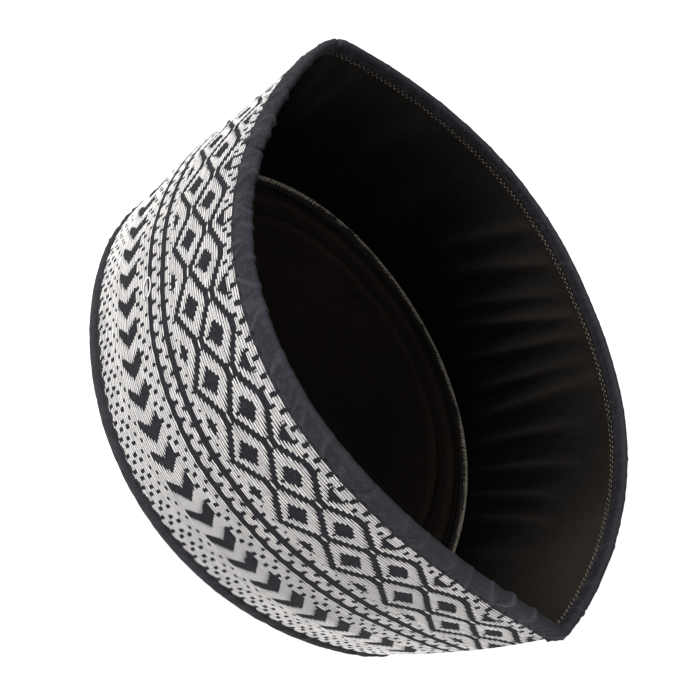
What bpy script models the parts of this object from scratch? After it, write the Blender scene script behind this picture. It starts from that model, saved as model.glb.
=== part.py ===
"""Kufi cap: an embroidered cotton band on a flat oval crown, standing open end up.

Metres, +Z up. The flat outer face of the crown rests on z = 0 and +X runs along the
longer axis of the oval. The wall is a loft from the oval crown to a lens-shaped rim
with two soft corners, at +X and -X. A place on the wall has three numbers: the turn,
a fraction of the way round from the +X corner by way of -Y; the rise, 0 at the crown
and 1 at the rim; and the distance outward from the face of the embroidered cloth.
"""

from collections import namedtuple

import bmesh
import bpy
import numpy as np

# Crown outline: an oval. A fullness of 2 is an ellipse, less is more pointed.
CROWN_HALF_LENGTH = 0.0961
CROWN_HALF_WIDTH = 0.0912
CROWN_FULLNESS = 1.74
CROWN_FULLNESS_SLOPE = -0.3

# Rim outline: two bowed sides that meet in a soft corner at each end. A side follows
# (x / half length) ** length_power + (y / half width) ** width_power = 1, and its width
# power grows by corner_power towards the -X corner, within a share set by corner_reach.
RimSide = namedtuple("RimSide", "half_width length_power width_power corner_power corner_reach")
RIM_HALF_LENGTH = 0.10605
NEAR_SIDE = RimSide(0.0883, 2.08, 0.92, 0.3, 3)
FAR_SIDE = RimSide(0.0834, 2.49, 1.26, 0.0, 1)

# The rim leans over the crown, dips at its corners and climbs a little towards +X.
RIM_LEAN_X = 0.00245
RIM_LEAN_Y = -0.0126
RIM_HEIGHT = 0.09085
CORNER_DIP = 0.00635
RIM_CLIMB = 0.00165

# Outward bulge half way up: its mean, and its changes once and twice round the wall.
BULGE_MEAN = 0.0019
BULGE_ONCE = -0.0007
BULGE_TWICE = 0.0006

# Middle of the bounding box in the frame of the crown's centre.
CENTRE_X = 0.00219
CENTRE_Y = -0.00521

# Cloth thicknesses and the gap left between neighbouring pieces.
GAP = 0.0003
BAND_CLOTH = 0.0011
LINING_CLOTH = 0.001
TAPE = 0.001
CROWN_CLOTH = 0.0018
SEAM_CLOTH = 0.0021

# Heights on the wall.
PIPING_HEIGHT = 0.0054
SEAM_HEIGHT = 0.0066
BINDING_OUTER_LEG = 0.0079
BINDING_INNER_LEG = 0.006
BINDING_FOLD = 0.0022

# Faces that more than one piece keeps to, as distances outward from the band's face.
LINING_FACE = -(BAND_CLOTH + GAP + LINING_CLOTH)
BINDING_OUTSIDE = GAP + TAPE
BINDING_INSIDE = LINING_FACE - GAP - TAPE
PIPING_OUTSIDE = 0.0009
PIPING_INSIDE = -0.002
SEAM_OUTSIDE = LINING_FACE - GAP
SEAM_INSIDE = SEAM_OUTSIDE - SEAM_CLOTH
CROWN_LINING_EDGE = SEAM_INSIDE - GAP

# Faces round each ring, and steps used to measure along an outline.
SIDES = 88
OUTLINE_STEPS = 1500
TANGENT_STEP = 0.004

# Folds of the loose wall lining. Each runs between two rises, at a turn and a slant.
Fold = namedtuple("Fold", "turn low high width depth slant")
LINING_FOLDS = (
    Fold(0.060, 0.20, 0.90, 0.014, 0.0006, 0.00),
    Fold(0.170, 0.15, 0.80, 0.016, 0.0007, 0.01),
    Fold(0.290, 0.20, 0.85, 0.016, 0.0006, -0.01),
    Fold(0.410, 0.25, 0.90, 0.014, 0.0007, 0.00),
    Fold(0.522, 0.40, 0.96, 0.010, 0.0011, 0.00),
    Fold(0.620, 0.10, 0.70, 0.014, 0.0007, 0.01),
    Fold(0.695, 0.40, 0.96, 0.011, 0.0012, 0.06),
    Fold(0.733, 0.30, 0.97, 0.010, 0.0014, 0.05),
    Fold(0.762, 0.25, 0.96, 0.010, 0.0012, 0.02),
    Fold(0.797, 0.20, 0.95, 0.011, 0.0012, 0.01),
    Fold(0.836, 0.05, 0.60, 0.010, 0.0013, 0.02),
    Fold(0.868, 0.05, 0.65, 0.010, 0.0012, 0.03),
    Fold(0.915, 0.05, 0.50, 0.014, 0.0008, 0.02),
)

# A corner of a section: how far along the wall from its end, and how far out.
Corner = namedtuple("Corner", "along out")

# Crown lining: how high its upper face stands at each distance in from the crown edge.
LiningRing = namedtuple("LiningRing", "inset height")
CROWN_LINING_RINGS = (
    LiningRing(-CROWN_LINING_EDGE, 0.0032),
    LiningRing(0.0100, 0.0032),
    LiningRing(0.0140, 0.0044),
    LiningRing(0.0190, 0.0034),
    LiningRing(0.0330, 0.0037),
    LiningRing(0.0420, 0.0033),
)
CROWN_LINING_MIDDLE = 0.0033
MIDDLE_SHARE = 0.45

# Edges sharper than this stay sharp when shaded.
SHARP_EDGE = np.radians(40)
# How roundly a lining fold fades at its two ends.
FOLD_FADE = 0.7


def side_line(half_length, half_width, length_power, width_power, side):
    """One side of an outline, walked from +X to -X on the near side and back on the far one."""
    angle = np.linspace(0.0, np.pi, OUTLINE_STEPS)
    if side > 0:
        angle = np.pi - angle
    cosine, sine = np.cos(angle), np.sin(angle)
    power = width_power(cosine)
    x = half_length * np.sign(cosine) * np.abs(cosine) ** (2 / length_power)
    y = side * half_width * np.abs(sine) ** (2 / power)
    return x, y


def walk(line, share):
    """Points at given shares of a line's own length."""
    steps = np.linalg.norm(np.diff(line, axis=0), axis=1)
    length = np.concatenate(([0.0], np.cumsum(steps)))
    return np.stack([np.interp(share * length[-1], length, axis) for axis in line.T], axis=-1)


def round_line(turn, side_points):
    """Points at given turns, the first half turn on the near side and the second on the far one."""
    turn = np.mod(turn, 1.0)
    near = walk(side_points(-1), np.clip(2 * turn, 0, 1))
    far = walk(side_points(1), np.clip(2 * turn - 1, 0, 1))
    return np.where((turn < 0.5)[..., None], near, far)


def crown_side(side):
    x, y = side_line(CROWN_HALF_LENGTH, CROWN_HALF_WIDTH, 2.0,
                     lambda cosine: CROWN_FULLNESS + CROWN_FULLNESS_SLOPE * cosine, side)
    return np.stack([x, y, np.zeros_like(x)], axis=-1)


def rim_side(side):
    shape = NEAR_SIDE if side < 0 else FAR_SIDE

    def width_power(cosine):
        towards_corner = np.clip(-cosine, 0, 1) ** shape.corner_reach
        return shape.width_power + shape.corner_power * towards_corner

    x, y = side_line(RIM_HALF_LENGTH, shape.half_width, shape.length_power, width_power, side)
    along = x / RIM_HALF_LENGTH
    z = RIM_HEIGHT - CORNER_DIP * along ** 2 + RIM_CLIMB * along
    return np.stack([x + RIM_LEAN_X, y + RIM_LEAN_Y, z], axis=-1)


class Wall:
    """The wall's crown and rim lines, read at equal turns."""

    def __init__(self, sides):
        self.turn = np.arange(sides) / sides
        self.crown = round_line(self.turn, crown_side)
        self.rim = round_line(self.turn, rim_side)
        ahead, behind = self.turn + TANGENT_STEP, self.turn - TANGENT_STEP
        self.crown_run = round_line(ahead, crown_side) - round_line(behind, crown_side)
        self.rim_run = round_line(ahead, rim_side) - round_line(behind, rim_side)

    def from_floor(self, height):
        """The rise at a height above the floor."""
        return height / self.rim[:, 2]

    def from_rim(self, drop):
        """The rise at a distance below the rim."""
        return 1.0 - drop / np.linalg.norm(self.rim - self.crown, axis=1)

    def ring(self, rise, out):
        """One ring of points: the loft at this rise, bulged, then set outward square to the cloth."""
        rise = np.broadcast_to(rise, self.turn.shape)[:, None]
        out = np.broadcast_to(out, self.turn.shape)[:, None]
        run = self.rim_run * rise + self.crown_run * (1 - rise)
        outward = np.stack([-run[:, 1], run[:, 0], np.zeros(len(run))], axis=-1)
        outward /= np.linalg.norm(outward, axis=1, keepdims=True)
        climb = self.rim - self.crown
        lean = (climb * outward).sum(axis=1, keepdims=True) / climb[:, 2:]
        angle = 2 * np.pi * self.turn[:, None]
        bulge = BULGE_MEAN + BULGE_ONCE * np.cos(angle) + BULGE_TWICE * np.cos(2 * angle)
        shift = bulge * 4 * rise * (1 - rise) + out * np.sqrt(1 + lean ** 2)
        points = self.rim * rise + self.crown * (1 - rise) + outward * shift
        return points - np.array([CENTRE_X, CENTRE_Y, 0.0])


def material(name, colour, roughness, sheen=0.0):
    """A plain cloth finish."""
    finish = bpy.data.materials.new(name)
    finish.use_nodes = True
    shader = finish.node_tree.nodes["Principled BSDF"]
    shader.inputs["Base Color"].default_value = (*colour, 1.0)
    shader.inputs["Roughness"].default_value = roughness
    shader.inputs["Metallic"].default_value = 0.0
    shader.inputs["Sheen Weight"].default_value = sheen
    return finish


def loft(name, rings, finish, collection, closed):
    """Join rings of points by faces: into a closed tube, or capped at the first and last ring.

    Each four-sided patch is split the same way, from its low corner to the high one after
    it, so that facing pieces stay parallel where the wall twists.
    """
    count = len(rings[0])
    mesh = bpy.data.meshes.new(name)
    build = bmesh.new()
    rows = [[build.verts.new(point) for point in ring] for ring in rings]
    pairs = list(zip(rows, rows[1:])) + ([(rows[-1], rows[0])] if closed else [])
    for first, second in pairs:
        rising = sum(vert.co.z for vert in first) <= sum(vert.co.z for vert in second)
        for side in range(count):
            after = (side + 1) % count
            a, b, c, d = first[side], first[after], second[after], second[side]
            for corners in ((a, b, c), (a, c, d)) if rising else ((a, b, d), (b, c, d)):
                build.faces.new(corners)
    if not closed:
        build.faces.new(rows[0][::-1])
        build.faces.new(rows[-1])
    if build.calc_volume(signed=True) < 0:
        bmesh.ops.reverse_faces(build, faces=build.faces)
    build.to_mesh(mesh)
    build.free()
    mesh.materials.append(finish)
    mesh.shade_smooth()
    mesh.set_sharp_from_angle(angle=SHARP_EDGE)
    piece = bpy.data.objects.new(name, mesh)
    collection.objects.link(piece)
    return piece


def lining_ripple(wall, rise):
    """How far the lining's folds stand in from its flat face, at one rise."""
    rise = np.broadcast_to(rise, wall.turn.shape)
    ripple = np.zeros_like(wall.turn)
    for fold in LINING_FOLDS:
        middle = (fold.low + fold.high) / 2
        reach = np.clip((rise - fold.low) / (fold.high - fold.low), 0, 1)
        away = wall.turn - fold.turn - fold.slant * (rise - middle)
        away = away - np.round(away)
        ripple += fold.depth * np.sin(np.pi * reach) ** FOLD_FADE * np.exp(-(away / fold.width) ** 2)
    return ripple


def make_band(wall, collection):
    """Embroidered cloth wall, from the piping up into the fold of the binding."""
    finish = material("embroidered_cotton", (0.45, 0.43, 0.43), 0.85, 0.2)
    foot, head = wall.from_floor(PIPING_HEIGHT + GAP), wall.from_rim(BINDING_FOLD + GAP)
    outer = [wall.ring(foot + (head - foot) * share, 0.0) for share in (0, 0.25, 0.5, 0.75, 1)]
    inner = [wall.ring(foot + (head - foot) * share, -BAND_CLOTH) for share in (1, 0.67, 0.33, 0)]
    return loft("band", outer + inner, finish, collection, closed=True)


def make_band_lining(wall, collection):
    """Loose inner cloth of the wall, flat towards the band and folded towards the head."""
    finish = material("wall_lining_cotton", (0.012, 0.01, 0.009), 0.9, 0.1)
    foot = wall.from_floor(CROWN_CLOTH + GAP)
    head = wall.from_rim(BINDING_FOLD + GAP)
    back = -(BAND_CLOTH + GAP)
    outer = [wall.ring(foot + (head - foot) * share, back) for share in (0, 0.33, 0.67, 1)]
    inner = []
    for share in (1, 0.92, 0.78, 0.6, 0.42, 0.25, 0.1, 0):
        rise = foot + (head - foot) * share
        ripple = lining_ripple(wall, rise) if 0.05 < share < 0.95 else 0.0
        inner.append(wall.ring(rise, LINING_FACE - ripple))
    return loft("band_lining", outer + inner, finish, collection, closed=True)


def make_rim_binding(wall, collection):
    """Tape folded over the rim: a short leg inside, a longer leg outside, a rounded top."""
    finish = material("binding_tape", (0.05, 0.048, 0.055), 0.85, 0.2)
    middle = (BINDING_OUTSIDE + BINDING_INSIDE) / 2
    section = (
        Corner(BINDING_OUTER_LEG, GAP),
        Corner(BINDING_OUTER_LEG, BINDING_OUTSIDE - 0.0004),
        Corner(BINDING_OUTER_LEG - 0.0012, BINDING_OUTSIDE),
        Corner(0.0026, BINDING_OUTSIDE),
        Corner(0.0008, BINDING_OUTSIDE - 0.0008),
        Corner(0.0, middle + 0.0008),
        Corner(0.0, middle - 0.0008),
        Corner(0.0008, BINDING_INSIDE + 0.0008),
        Corner(0.0026, BINDING_INSIDE),
        Corner(BINDING_INNER_LEG, BINDING_INSIDE),
        Corner(BINDING_INNER_LEG, LINING_FACE - GAP),
        Corner(BINDING_FOLD, LINING_FACE - GAP),
        Corner(BINDING_FOLD, GAP),
    )
    rings = [wall.ring(wall.from_rim(corner.along), corner.out) for corner in section]
    return loft("rim_binding", rings, finish, collection, closed=True)


def make_crown_piping(wall, collection):
    """Dark strip round the crown edge, rounded outside and flat where it rests."""
    finish = material("piping_cotton", (0.05, 0.048, 0.055), 0.85, 0.2)
    section = (
        Corner(0.0, PIPING_INSIDE),
        Corner(0.0, -0.0004),
        Corner(0.0011, PIPING_OUTSIDE - 0.0003),
        Corner(0.0027, PIPING_OUTSIDE),
        Corner(0.0043, PIPING_OUTSIDE - 0.0003),
        Corner(PIPING_HEIGHT, -0.0002),
        Corner(PIPING_HEIGHT, -BAND_CLOTH),
        Corner(CROWN_CLOTH + GAP, -BAND_CLOTH),
        Corner(CROWN_CLOTH, PIPING_INSIDE),
    )
    rings = [wall.ring(wall.from_floor(corner.along), corner.out) for corner in section]
    return loft("crown_piping", rings, finish, collection, closed=True)


def make_crown_panel(wall, collection):
    """Flat oval cloth of the crown, framed by the piping."""
    finish = material("crown_cotton", (0.05, 0.048, 0.055), 0.88, 0.2)
    edge = PIPING_INSIDE - GAP
    rings = [wall.ring(wall.from_floor(height), edge) for height in (0.0, CROWN_CLOTH)]
    return loft("crown_panel", rings, finish, collection, closed=False)


def make_crown_lining(wall, collection):
    """Soft cloth inside the crown, with a ridge where it is gathered into the seam."""
    finish = material("crown_lining_cotton", (0.02, 0.016, 0.015), 0.9, 0.1)
    floor = CROWN_CLOTH + GAP
    rise = wall.from_floor(floor)
    rings = [wall.ring(rise, CROWN_LINING_EDGE)]
    for row in CROWN_LINING_RINGS:
        ring = wall.ring(rise, -row.inset)
        ring[:, 2] = row.height
        rings.append(ring)
    middle = rings[-1].mean(axis=0)
    last = middle + MIDDLE_SHARE * (rings[-1] - middle)
    last[:, 2] = CROWN_LINING_MIDDLE
    rings.append(last)
    return loft("crown_lining", rings, finish, collection, closed=False)


def make_crown_seam_allowance(wall, collection):
    """Overcast edges of the crown seam, standing up inside the wall as one strip."""
    finish = material("seam_cotton", (0.03, 0.027, 0.026), 0.9, 0.1)
    floor = CROWN_CLOTH + GAP
    section = (
        Corner(floor, SEAM_INSIDE),
        Corner(floor, SEAM_OUTSIDE),
        Corner(SEAM_HEIGHT - 0.0004, SEAM_OUTSIDE),
        Corner(SEAM_HEIGHT, (SEAM_OUTSIDE + SEAM_INSIDE) / 2),
        Corner(SEAM_HEIGHT - 0.0004, SEAM_INSIDE),
    )
    rings = [wall.ring(wall.from_floor(corner.along), corner.out) for corner in section]
    return loft("crown_seam_allowance", rings, finish, collection, closed=True)


def main():
    for thing in list(bpy.data.objects):
        bpy.data.objects.remove(thing, do_unlink=True)
    collection = bpy.data.collections.new("kufi_cap")
    bpy.context.scene.collection.children.link(collection)
    wall = Wall(SIDES)
    make_crown_panel(wall, collection)
    make_crown_piping(wall, collection)
    make_crown_lining(wall, collection)
    make_crown_seam_allowance(wall, collection)
    make_band(wall, collection)
    make_band_lining(wall, collection)
    make_rim_binding(wall, collection)


main()
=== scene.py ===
"""Looks of the kufi cap: woven threads, tape, linings and stitches made over the fixed frame.

Metres, +Z up, the cap standing on its crown with the open end up. A place on the wall is
given by three numbers. The turn is the fraction of the way round from the +X corner by way
of -Y. The rise is 0 at the crown and 1 at the rim. The out is the distance outward from the
face of the woven cloth, square to it.

The woven pattern is charted in millimetres: x runs round the wall with the turn, and the
drop runs down from the rim.
"""

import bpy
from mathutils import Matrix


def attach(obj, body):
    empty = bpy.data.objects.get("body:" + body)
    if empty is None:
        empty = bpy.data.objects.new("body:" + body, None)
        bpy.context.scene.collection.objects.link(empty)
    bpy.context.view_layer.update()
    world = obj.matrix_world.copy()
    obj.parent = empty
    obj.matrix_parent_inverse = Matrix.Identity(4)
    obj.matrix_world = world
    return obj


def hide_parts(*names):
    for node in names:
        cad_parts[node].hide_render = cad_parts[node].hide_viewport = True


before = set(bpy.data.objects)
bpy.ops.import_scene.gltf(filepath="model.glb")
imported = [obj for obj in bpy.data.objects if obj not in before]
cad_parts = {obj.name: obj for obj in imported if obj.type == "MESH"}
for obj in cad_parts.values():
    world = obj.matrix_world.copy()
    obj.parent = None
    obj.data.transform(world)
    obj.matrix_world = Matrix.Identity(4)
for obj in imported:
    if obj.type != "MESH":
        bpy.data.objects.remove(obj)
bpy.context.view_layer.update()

import math
from collections import namedtuple

import bpy
import numpy as np
from bpy.props import FloatProperty, FloatVectorProperty, IntProperty, PointerProperty
from mathutils import Matrix, Vector

bl_info = {
    "name": "Kufi cap",
    "version": (1, 0, 0),
    "blender": (4, 5, 0),
    "location": "View3D > Sidebar > Kufi cap",
    "description": "Builds the cloth, threads, tape and linings of a woven kufi cap",
    "category": "Object",
}

# Crown and rim outlines, as in the frame.
CROWN_HALF_LENGTH, CROWN_HALF_WIDTH = 0.0961, 0.0912
CROWN_FULLNESS, CROWN_FULLNESS_SLOPE = 1.74, -0.3
RimSide = namedtuple("RimSide", "half_width length_power width_power corner_power corner_reach")
RIM_HALF_LENGTH = 0.10605
NEAR_SIDE = RimSide(0.0883, 2.08, 0.92, 0.3, 3)
FAR_SIDE = RimSide(0.0834, 2.49, 1.26, 0.0, 1)
RIM_LEAN_X, RIM_LEAN_Y = 0.00245, -0.0126
RIM_HEIGHT, CORNER_DIP, RIM_CLIMB = 0.09085, 0.00635, 0.00165
BULGE_MEAN, BULGE_ONCE, BULGE_TWICE = 0.0019, -0.0007, 0.0006
CENTRE = np.array([0.00219, -0.00521, 0.0])
# Where the soft wall is drawn in: a bell round a turn and a rise.
Tuck = namedtuple("Tuck", "turn width rise height depth")
TUCKS = (Tuck(0.43, 0.045, 0.0, 0.3, 0.003), Tuck(0.44, 0.04, 0.6, 0.25, 0.0015))
OUTLINE_STEPS, TANGENT_STEP = 1500, 0.004
# Places kept along the two outlines, and how far their corners are softened.
KEPT_TURNS, CORNER_SOFTNESS = 2880, 0.0014

# Heights and faces of the pieces. The cloths here are as thin as they look, and lie inside
# the frame's thicker ones.
GAP, FRAME_GAP = 0.0001, 0.0003
BAND_CLOTH, LINING_CLOTH, TAPE, CROWN_CLOTH = 0.001, 0.0008, 0.0007, 0.0018
PIPING_HEIGHT, SEAM_HEIGHT = 0.0054, 0.0066
TAPE_OUTER_LEG, TAPE_INNER_LEG, TAPE_FOLD = 0.0077, 0.005, 0.002
STITCH_DROP = 0.0064
# The two ends of the tape meet at the -X corner and leave a narrow notch there.
NOTCH_TURN, NOTCH_WIDTH, NOTCH_DEPTH = 0.4985, 0.0007, 0.0028
LINING_FACE = -(BAND_CLOTH + GAP + LINING_CLOTH)
TAPE_OUTSIDE, TAPE_INSIDE = GAP + TAPE, LINING_FACE - GAP - TAPE
PIPING_OUTSIDE, PIPING_INSIDE = 0.0009, -0.002
SEAM_OUTSIDE, SEAM_INSIDE = -0.0031, -0.0048
# Where the seam strip's middle is, and a height inside it that its threads face away from.
SEAM_MIDDLE, SEAM_CORE = (SEAM_OUTSIDE + SEAM_INSIDE) / 2, 0.005
CROWN_LINING_EDGE, CROWN_LINING_MIDDLE = -0.0051, 0.0033
# The upper face of the crown cloth with the frame's gap: where the linings start.
LINING_FLOOR = CROWN_CLOTH + FRAME_GAP
# Each cloth's mean slant height, and the rows of its section, on its face and on its back.
BAND_SLANT, LINING_SLANT = 0.083, 0.087
BAND_FACE_ROWS, BAND_BACK_ROWS = 56, 10
LINING_FACE_ROWS, LINING_BACK_ROWS = 66, 8
# How far a thread's underside lies in its cloth, and a step up the wall that gives its side.
THREAD_FOOT, SIDE_STEP = 0.00005, 0.004
MOST_TRIANGLES = 200000
# The wall cloth hangs loose between two rises, and this deep.
SLACK_LOW, SLACK_HIGH, SLACK_DEPTH = 0.07, 0.9, 0.00022
# Threads over the crown seam, and stitches inside the tape, round the whole cap.
OVERCAST_COUNT, INNER_STITCH_COUNT = 620, 560
# The inner stitches run in two rows by turns, at this drop and this much below it.
INNER_STITCH_DROP, INNER_STITCH_STEP = 0.0063, 0.0010

# The pattern chart, in millimetres.
MM = 0.001
CHART_LENGTH, CHART_HEIGHT = 580.0, 91.4
BAND_SEAM_TURN = 0.52
CHART_TOP, CHART_FOOT = 7.9, 84.8
SCALLOP_PITCH, SCALLOP_DEPTH = 5.6, 0.5
TICK_PITCH = 5.43
TICK_START, HALF_TICK_START = 0.77, 3.48
TickRow = namedtuple("TickRow", "top bottom start width")
# This row's ticks keep clear of the columns between, and one stands at each side of those.
PEAK_ROW = TickRow(11.0, 12.6, HALF_TICK_START, 1.2)
PEAK_CLEAR, PEAK_SIDE, PEAK_SIDE_HALF = 3.6, 2.7, 0.5
TICK_ROWS = (
    TickRow(7.0, 10.8, TICK_START, 1.45),
    PEAK_ROW,
    TickRow(39.3, 40.3, TICK_START, 0.6),
    TickRow(41.0, 42.8, HALF_TICK_START, 1.2),
    TickRow(45.2, 47.6, HALF_TICK_START, 1.25),
    TickRow(48.0, 50.2, TICK_START, 1.3),
    TickRow(53.5, 55.06, HALF_TICK_START, 1.2),
    TickRow(52.4, 53.5, HALF_TICK_START, 0.35),
    TickRow(55.65, 57.21, TICK_START + 0.5, 1.3),
    TickRow(57.9, 59.46, HALF_TICK_START, 1.3),
    TickRow(72.15, 73.71, TICK_START + 0.5, 1.25),
    TickRow(74.3, 75.86, HALF_TICK_START, 1.25),
    TickRow(76.45, 78.01, TICK_START + 0.5, 1.25),
    TickRow(78.6, 80.16, HALF_TICK_START, 1.25),
    TickRow(80.75, 82.31, TICK_START + 0.9, 1.25),
    TickRow(82.85, 84.41, HALF_TICK_START + 1.0, 1.25),
)
Rail = namedtuple("Rail", "top bottom")
RAILS = (Rail(42.7, 45.3), Rail(50.1, 52.5))
RAIL_WAVE = 0.3
DIAMOND_PITCH, DIAMOND_START = 22.65, 12.35
# Zigzag lines: drop on the first columns, drop on the ones between, and which peak is flat.
Zigzag = namedtuple("Zigzag", "at_first at_second flat_at_first")
ZIGZAGS = (Zigzag(13.5, 20.0, True), Zigzag(29.0, 22.0, False), Zigzag(30.9, 38.0, True))
ZIGZAG_WIDTH, ZIGZAG_FLAT = 2.6, 1.2
# Dark blocks where the zigzags meet, each with a short white bar.
Block = namedtuple("Block", "first top bottom bar_top bar_bottom")
BLOCKS = (Block(False, 18.9, 23.0, 20.45, 21.49), Block(True, 27.9, 32.0, 29.4, 30.44))
BLOCK_HALF, BAR_HALF = 2.1, 1.35
Centre = namedtuple("Centre", "first drop")
CENTRES = (Centre(True, 21.3), Centre(False, 30.2))
CENTRE_HALF_WIDTH, CENTRE_HALF_HEIGHT, CENTRE_FLAT, CENTRE_TIP = 4.4, 3.9, 3.3, 4.8
# Dark wedges at the outer edges of the diamond band, with the drops of their wide edge and tip.
Wedge = namedtuple("Wedge", "first half_width wide tip")
WEDGES = (Wedge(False, 3.9, 12.4, 16.8), Wedge(True, 4.2, 38.6, 36.1))
# Short stems below the centres and the lower wedges.
STEM_HALF, STEM_TOP, STEM_FOOT = 0.45, 38.6, 40.2
# Arrowheads: a leaning upper half, and a lower half whose two edges lean by different amounts.
CHEVRON_PITCH, CHEVRON_START, CHEVRON_WIDTH = 10.15, 118.7, 5.2
CHEVRON_TOP, CHEVRON_POINT, CHEVRON_FOOT = 59.7, 65.5, 70.7
CHEVRON_LEAN, CHEVRON_LOWER_FIRST, CHEVRON_LOWER_LAST = 3.9, 5.3, 3.7
# Drops between which two rows always share one reading.
PAIRED_DROPS = ((13.2, 38.6), (60.0, 70.6))
# How finely a row is read, the shortest float kept, how far in from a float's end the cloth
# above it is read, and how near to a float's ends it is never tied.
CHART_STEP, SHORTEST_FLOAT, END_INSET, TIE_MARGIN = 0.05, 0.4, 0.3, 1.2
# How far the pattern stops short of the wall's seam, at both sides of it.
SEAM_MARGIN = 0.3
# Threads change piece at these drops.
THREAD_ZONES = (
    ("upper_diamond_threads", 0.0, 21.5),
    ("lower_diamond_threads", 21.5, 39.0),
    ("rail_threads", 39.0, 56.0),
    ("chevron_threads", 56.0, 71.6),
    ("lower_dot_threads", 71.6, 99.0),
)
# Slow wander of the woven pattern, in millimetres: a bell round a place on the chart, with how
# far the pattern slides round the wall there and how far it hangs down.
Wander = namedtuple("Wander", "x drop width height slide hang")
WANDERS = (
    Wander(180, 30, 15, 45, 0.0, -0.8),
    Wander(80, 30, 17, 45, 0.0, 0.4),
    Wander(208, 30, 12, 45, 0.0, 0.4),
    Wander(-60, 30, 30, 45, 0.0, 0.4),
    Wander(-170, 30, 28, 45, 0.0, -0.5),
    Wander(250, 30, 20, 45, 0.0, -0.3),
    Wander(105, 18, 48, 24, -0.8, 0.0),
    Wander(54, 22, 20, 18, 0.3, -1.5),
    Wander(60, 68, 19, 10, -1.0, 2.2),
    Wander(26, 55, 15, 28, 1.8, -0.6),
    Wander(172, 44, 24, 30, -0.7, -0.6),
    Wander(228, 15, 20, 13, 2.2, 0.7),
    Wander(165, 80, 28, 8, 0.5, -1.2),
    Wander(38, 66, 10, 8, -1.0, 1.2),
    Wander(24, 14, 10, 10, -2.5, 1.8),
    Wander(150, 78, 45, 7, 0.6, 0.2),
)

# Route of the loose thread: x, drop and out, in millimetres.
LOOSE_THREAD = (
    (171.2, 52.3, 0.1), (172.0, 49.9, 0.5), (174.0, 48.7, 0.8), (176.6, 49.1, 0.9), (178.0, 50.7, 0.7),
    (176.8, 52.4, 0.7), (174.4, 53.3, 0.8), (172.2, 53.6, 0.4), (170.6, 53.1, 0.1),
)
LOOSE_THREAD_RINGS, LOOSE_THREAD_SMOOTHING = 56, 9

Crease = namedtuple("Crease", "turn along width length depth slant")
# Sharp creases across the tape, where it is joined or caught.
TAPE_NICKS = (Crease(0.356, 0.002, 0.0006, 0.004, -1.6, 0.5),
              Crease(0.152, 0.0008, 0.0005, 0.0022, -1.1, 0.6))

# Where the tape is gathered: how much more, round which turn and over which width.
TAPE_GATHERS = ((1.0, 0.36, 0.11), (0.5, 0.03, 0.05), (0.4, 0.97, 0.05))

# Folds of the loose wall lining. Each runs between two rises, at a turn and a slant.
Fold = namedtuple("Fold", "turn low high width depth slant")
LINING_FOLDS = (
    Fold(0.060, 0.20, 0.90, 0.010, 0.0010, 0.00),
    Fold(0.170, 0.15, 0.80, 0.012, 0.0010, 0.01),
    Fold(0.290, 0.20, 0.85, 0.012, 0.0010, -0.01),
    Fold(0.410, 0.25, 0.90, 0.010, 0.0012, 0.00),
    Fold(0.506, 0.45, 0.97, 0.005, 0.0020, -0.02),
    Fold(0.522, 0.40, 0.96, 0.006, 0.0018, 0.02),
    Fold(0.575, 0.40, 0.96, 0.007, 0.0012, 0.03),
    Fold(0.620, 0.10, 0.70, 0.010, 0.0012, 0.01),
    Fold(0.672, 0.35, 0.97, 0.006, 0.0024, 0.05),
    Fold(0.695, 0.30, 0.96, 0.006, 0.0029, 0.06),
    Fold(0.716, 0.20, 0.90, 0.005, 0.0026, 0.05),
    Fold(0.733, 0.15, 0.97, 0.005, 0.0032, 0.05),
    Fold(0.752, 0.10, 0.96, 0.005, 0.0031, 0.03),
    Fold(0.772, 0.10, 0.90, 0.005, 0.0030, 0.02),
    Fold(0.790, 0.05, 0.95, 0.006, 0.0034, 0.01),
    Fold(0.812, 0.05, 0.80, 0.005, 0.0032, 0.02),
    Fold(0.836, 0.05, 0.75, 0.005, 0.0033, 0.03),
    Fold(0.856, 0.05, 0.65, 0.005, 0.0030, 0.04),
    Fold(0.876, 0.05, 0.65, 0.006, 0.0028, 0.04),
    Fold(0.905, 0.05, 0.60, 0.008, 0.0016, 0.03),
    Fold(0.945, 0.05, 0.60, 0.009, 0.0012, 0.02),
)
# Crown lining: height of its upper face at each distance in from the crown edge.
LINING_INSETS = (0.0051, 0.0080, 0.0100, 0.0125, 0.0185, 0.0205, 0.0225, 0.0330, 0.1)
LINING_HEIGHTS = (0.0032, 0.0034, 0.0046, 0.0032, 0.0036, 0.0050, 0.0034, 0.0037, 0.0033)

# The point that the camera looks at, its lens and sensor in millimetres, how far off the lamps
# stand, and half the floor's side.
CAMERA_TARGET, CAMERA_LENS, CAMERA_SENSOR = (-0.003539, -0.017195, 0.05), 64.189, 36.0
LAMP_DISTANCE, FLOOR_HALF = 1.1, 3.0


# Shape of the wall.

def side_line(half_length, half_width, length_power, width_power, side):
    """One side of an outline: cosine and sine of an even angle, each to its own power."""
    angle = np.linspace(0.0, np.pi, OUTLINE_STEPS)
    if side > 0:
        angle = np.pi - angle
    cosine, sine = np.cos(angle), np.sin(angle)
    power = width_power(cosine)
    x = half_length * np.sign(cosine) * np.abs(cosine) ** (2 / length_power)
    y = side * half_width * np.abs(sine) ** (2 / power)
    return x, y


def crown_side(side):
    """Crown outline: an oval whose fullness changes with the cosine."""
    x, y = side_line(CROWN_HALF_LENGTH, CROWN_HALF_WIDTH, 2.0,
                     lambda cosine: CROWN_FULLNESS + CROWN_FULLNESS_SLOPE * cosine, side)
    return np.stack([x, y, np.zeros_like(x)], axis=-1)


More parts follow.
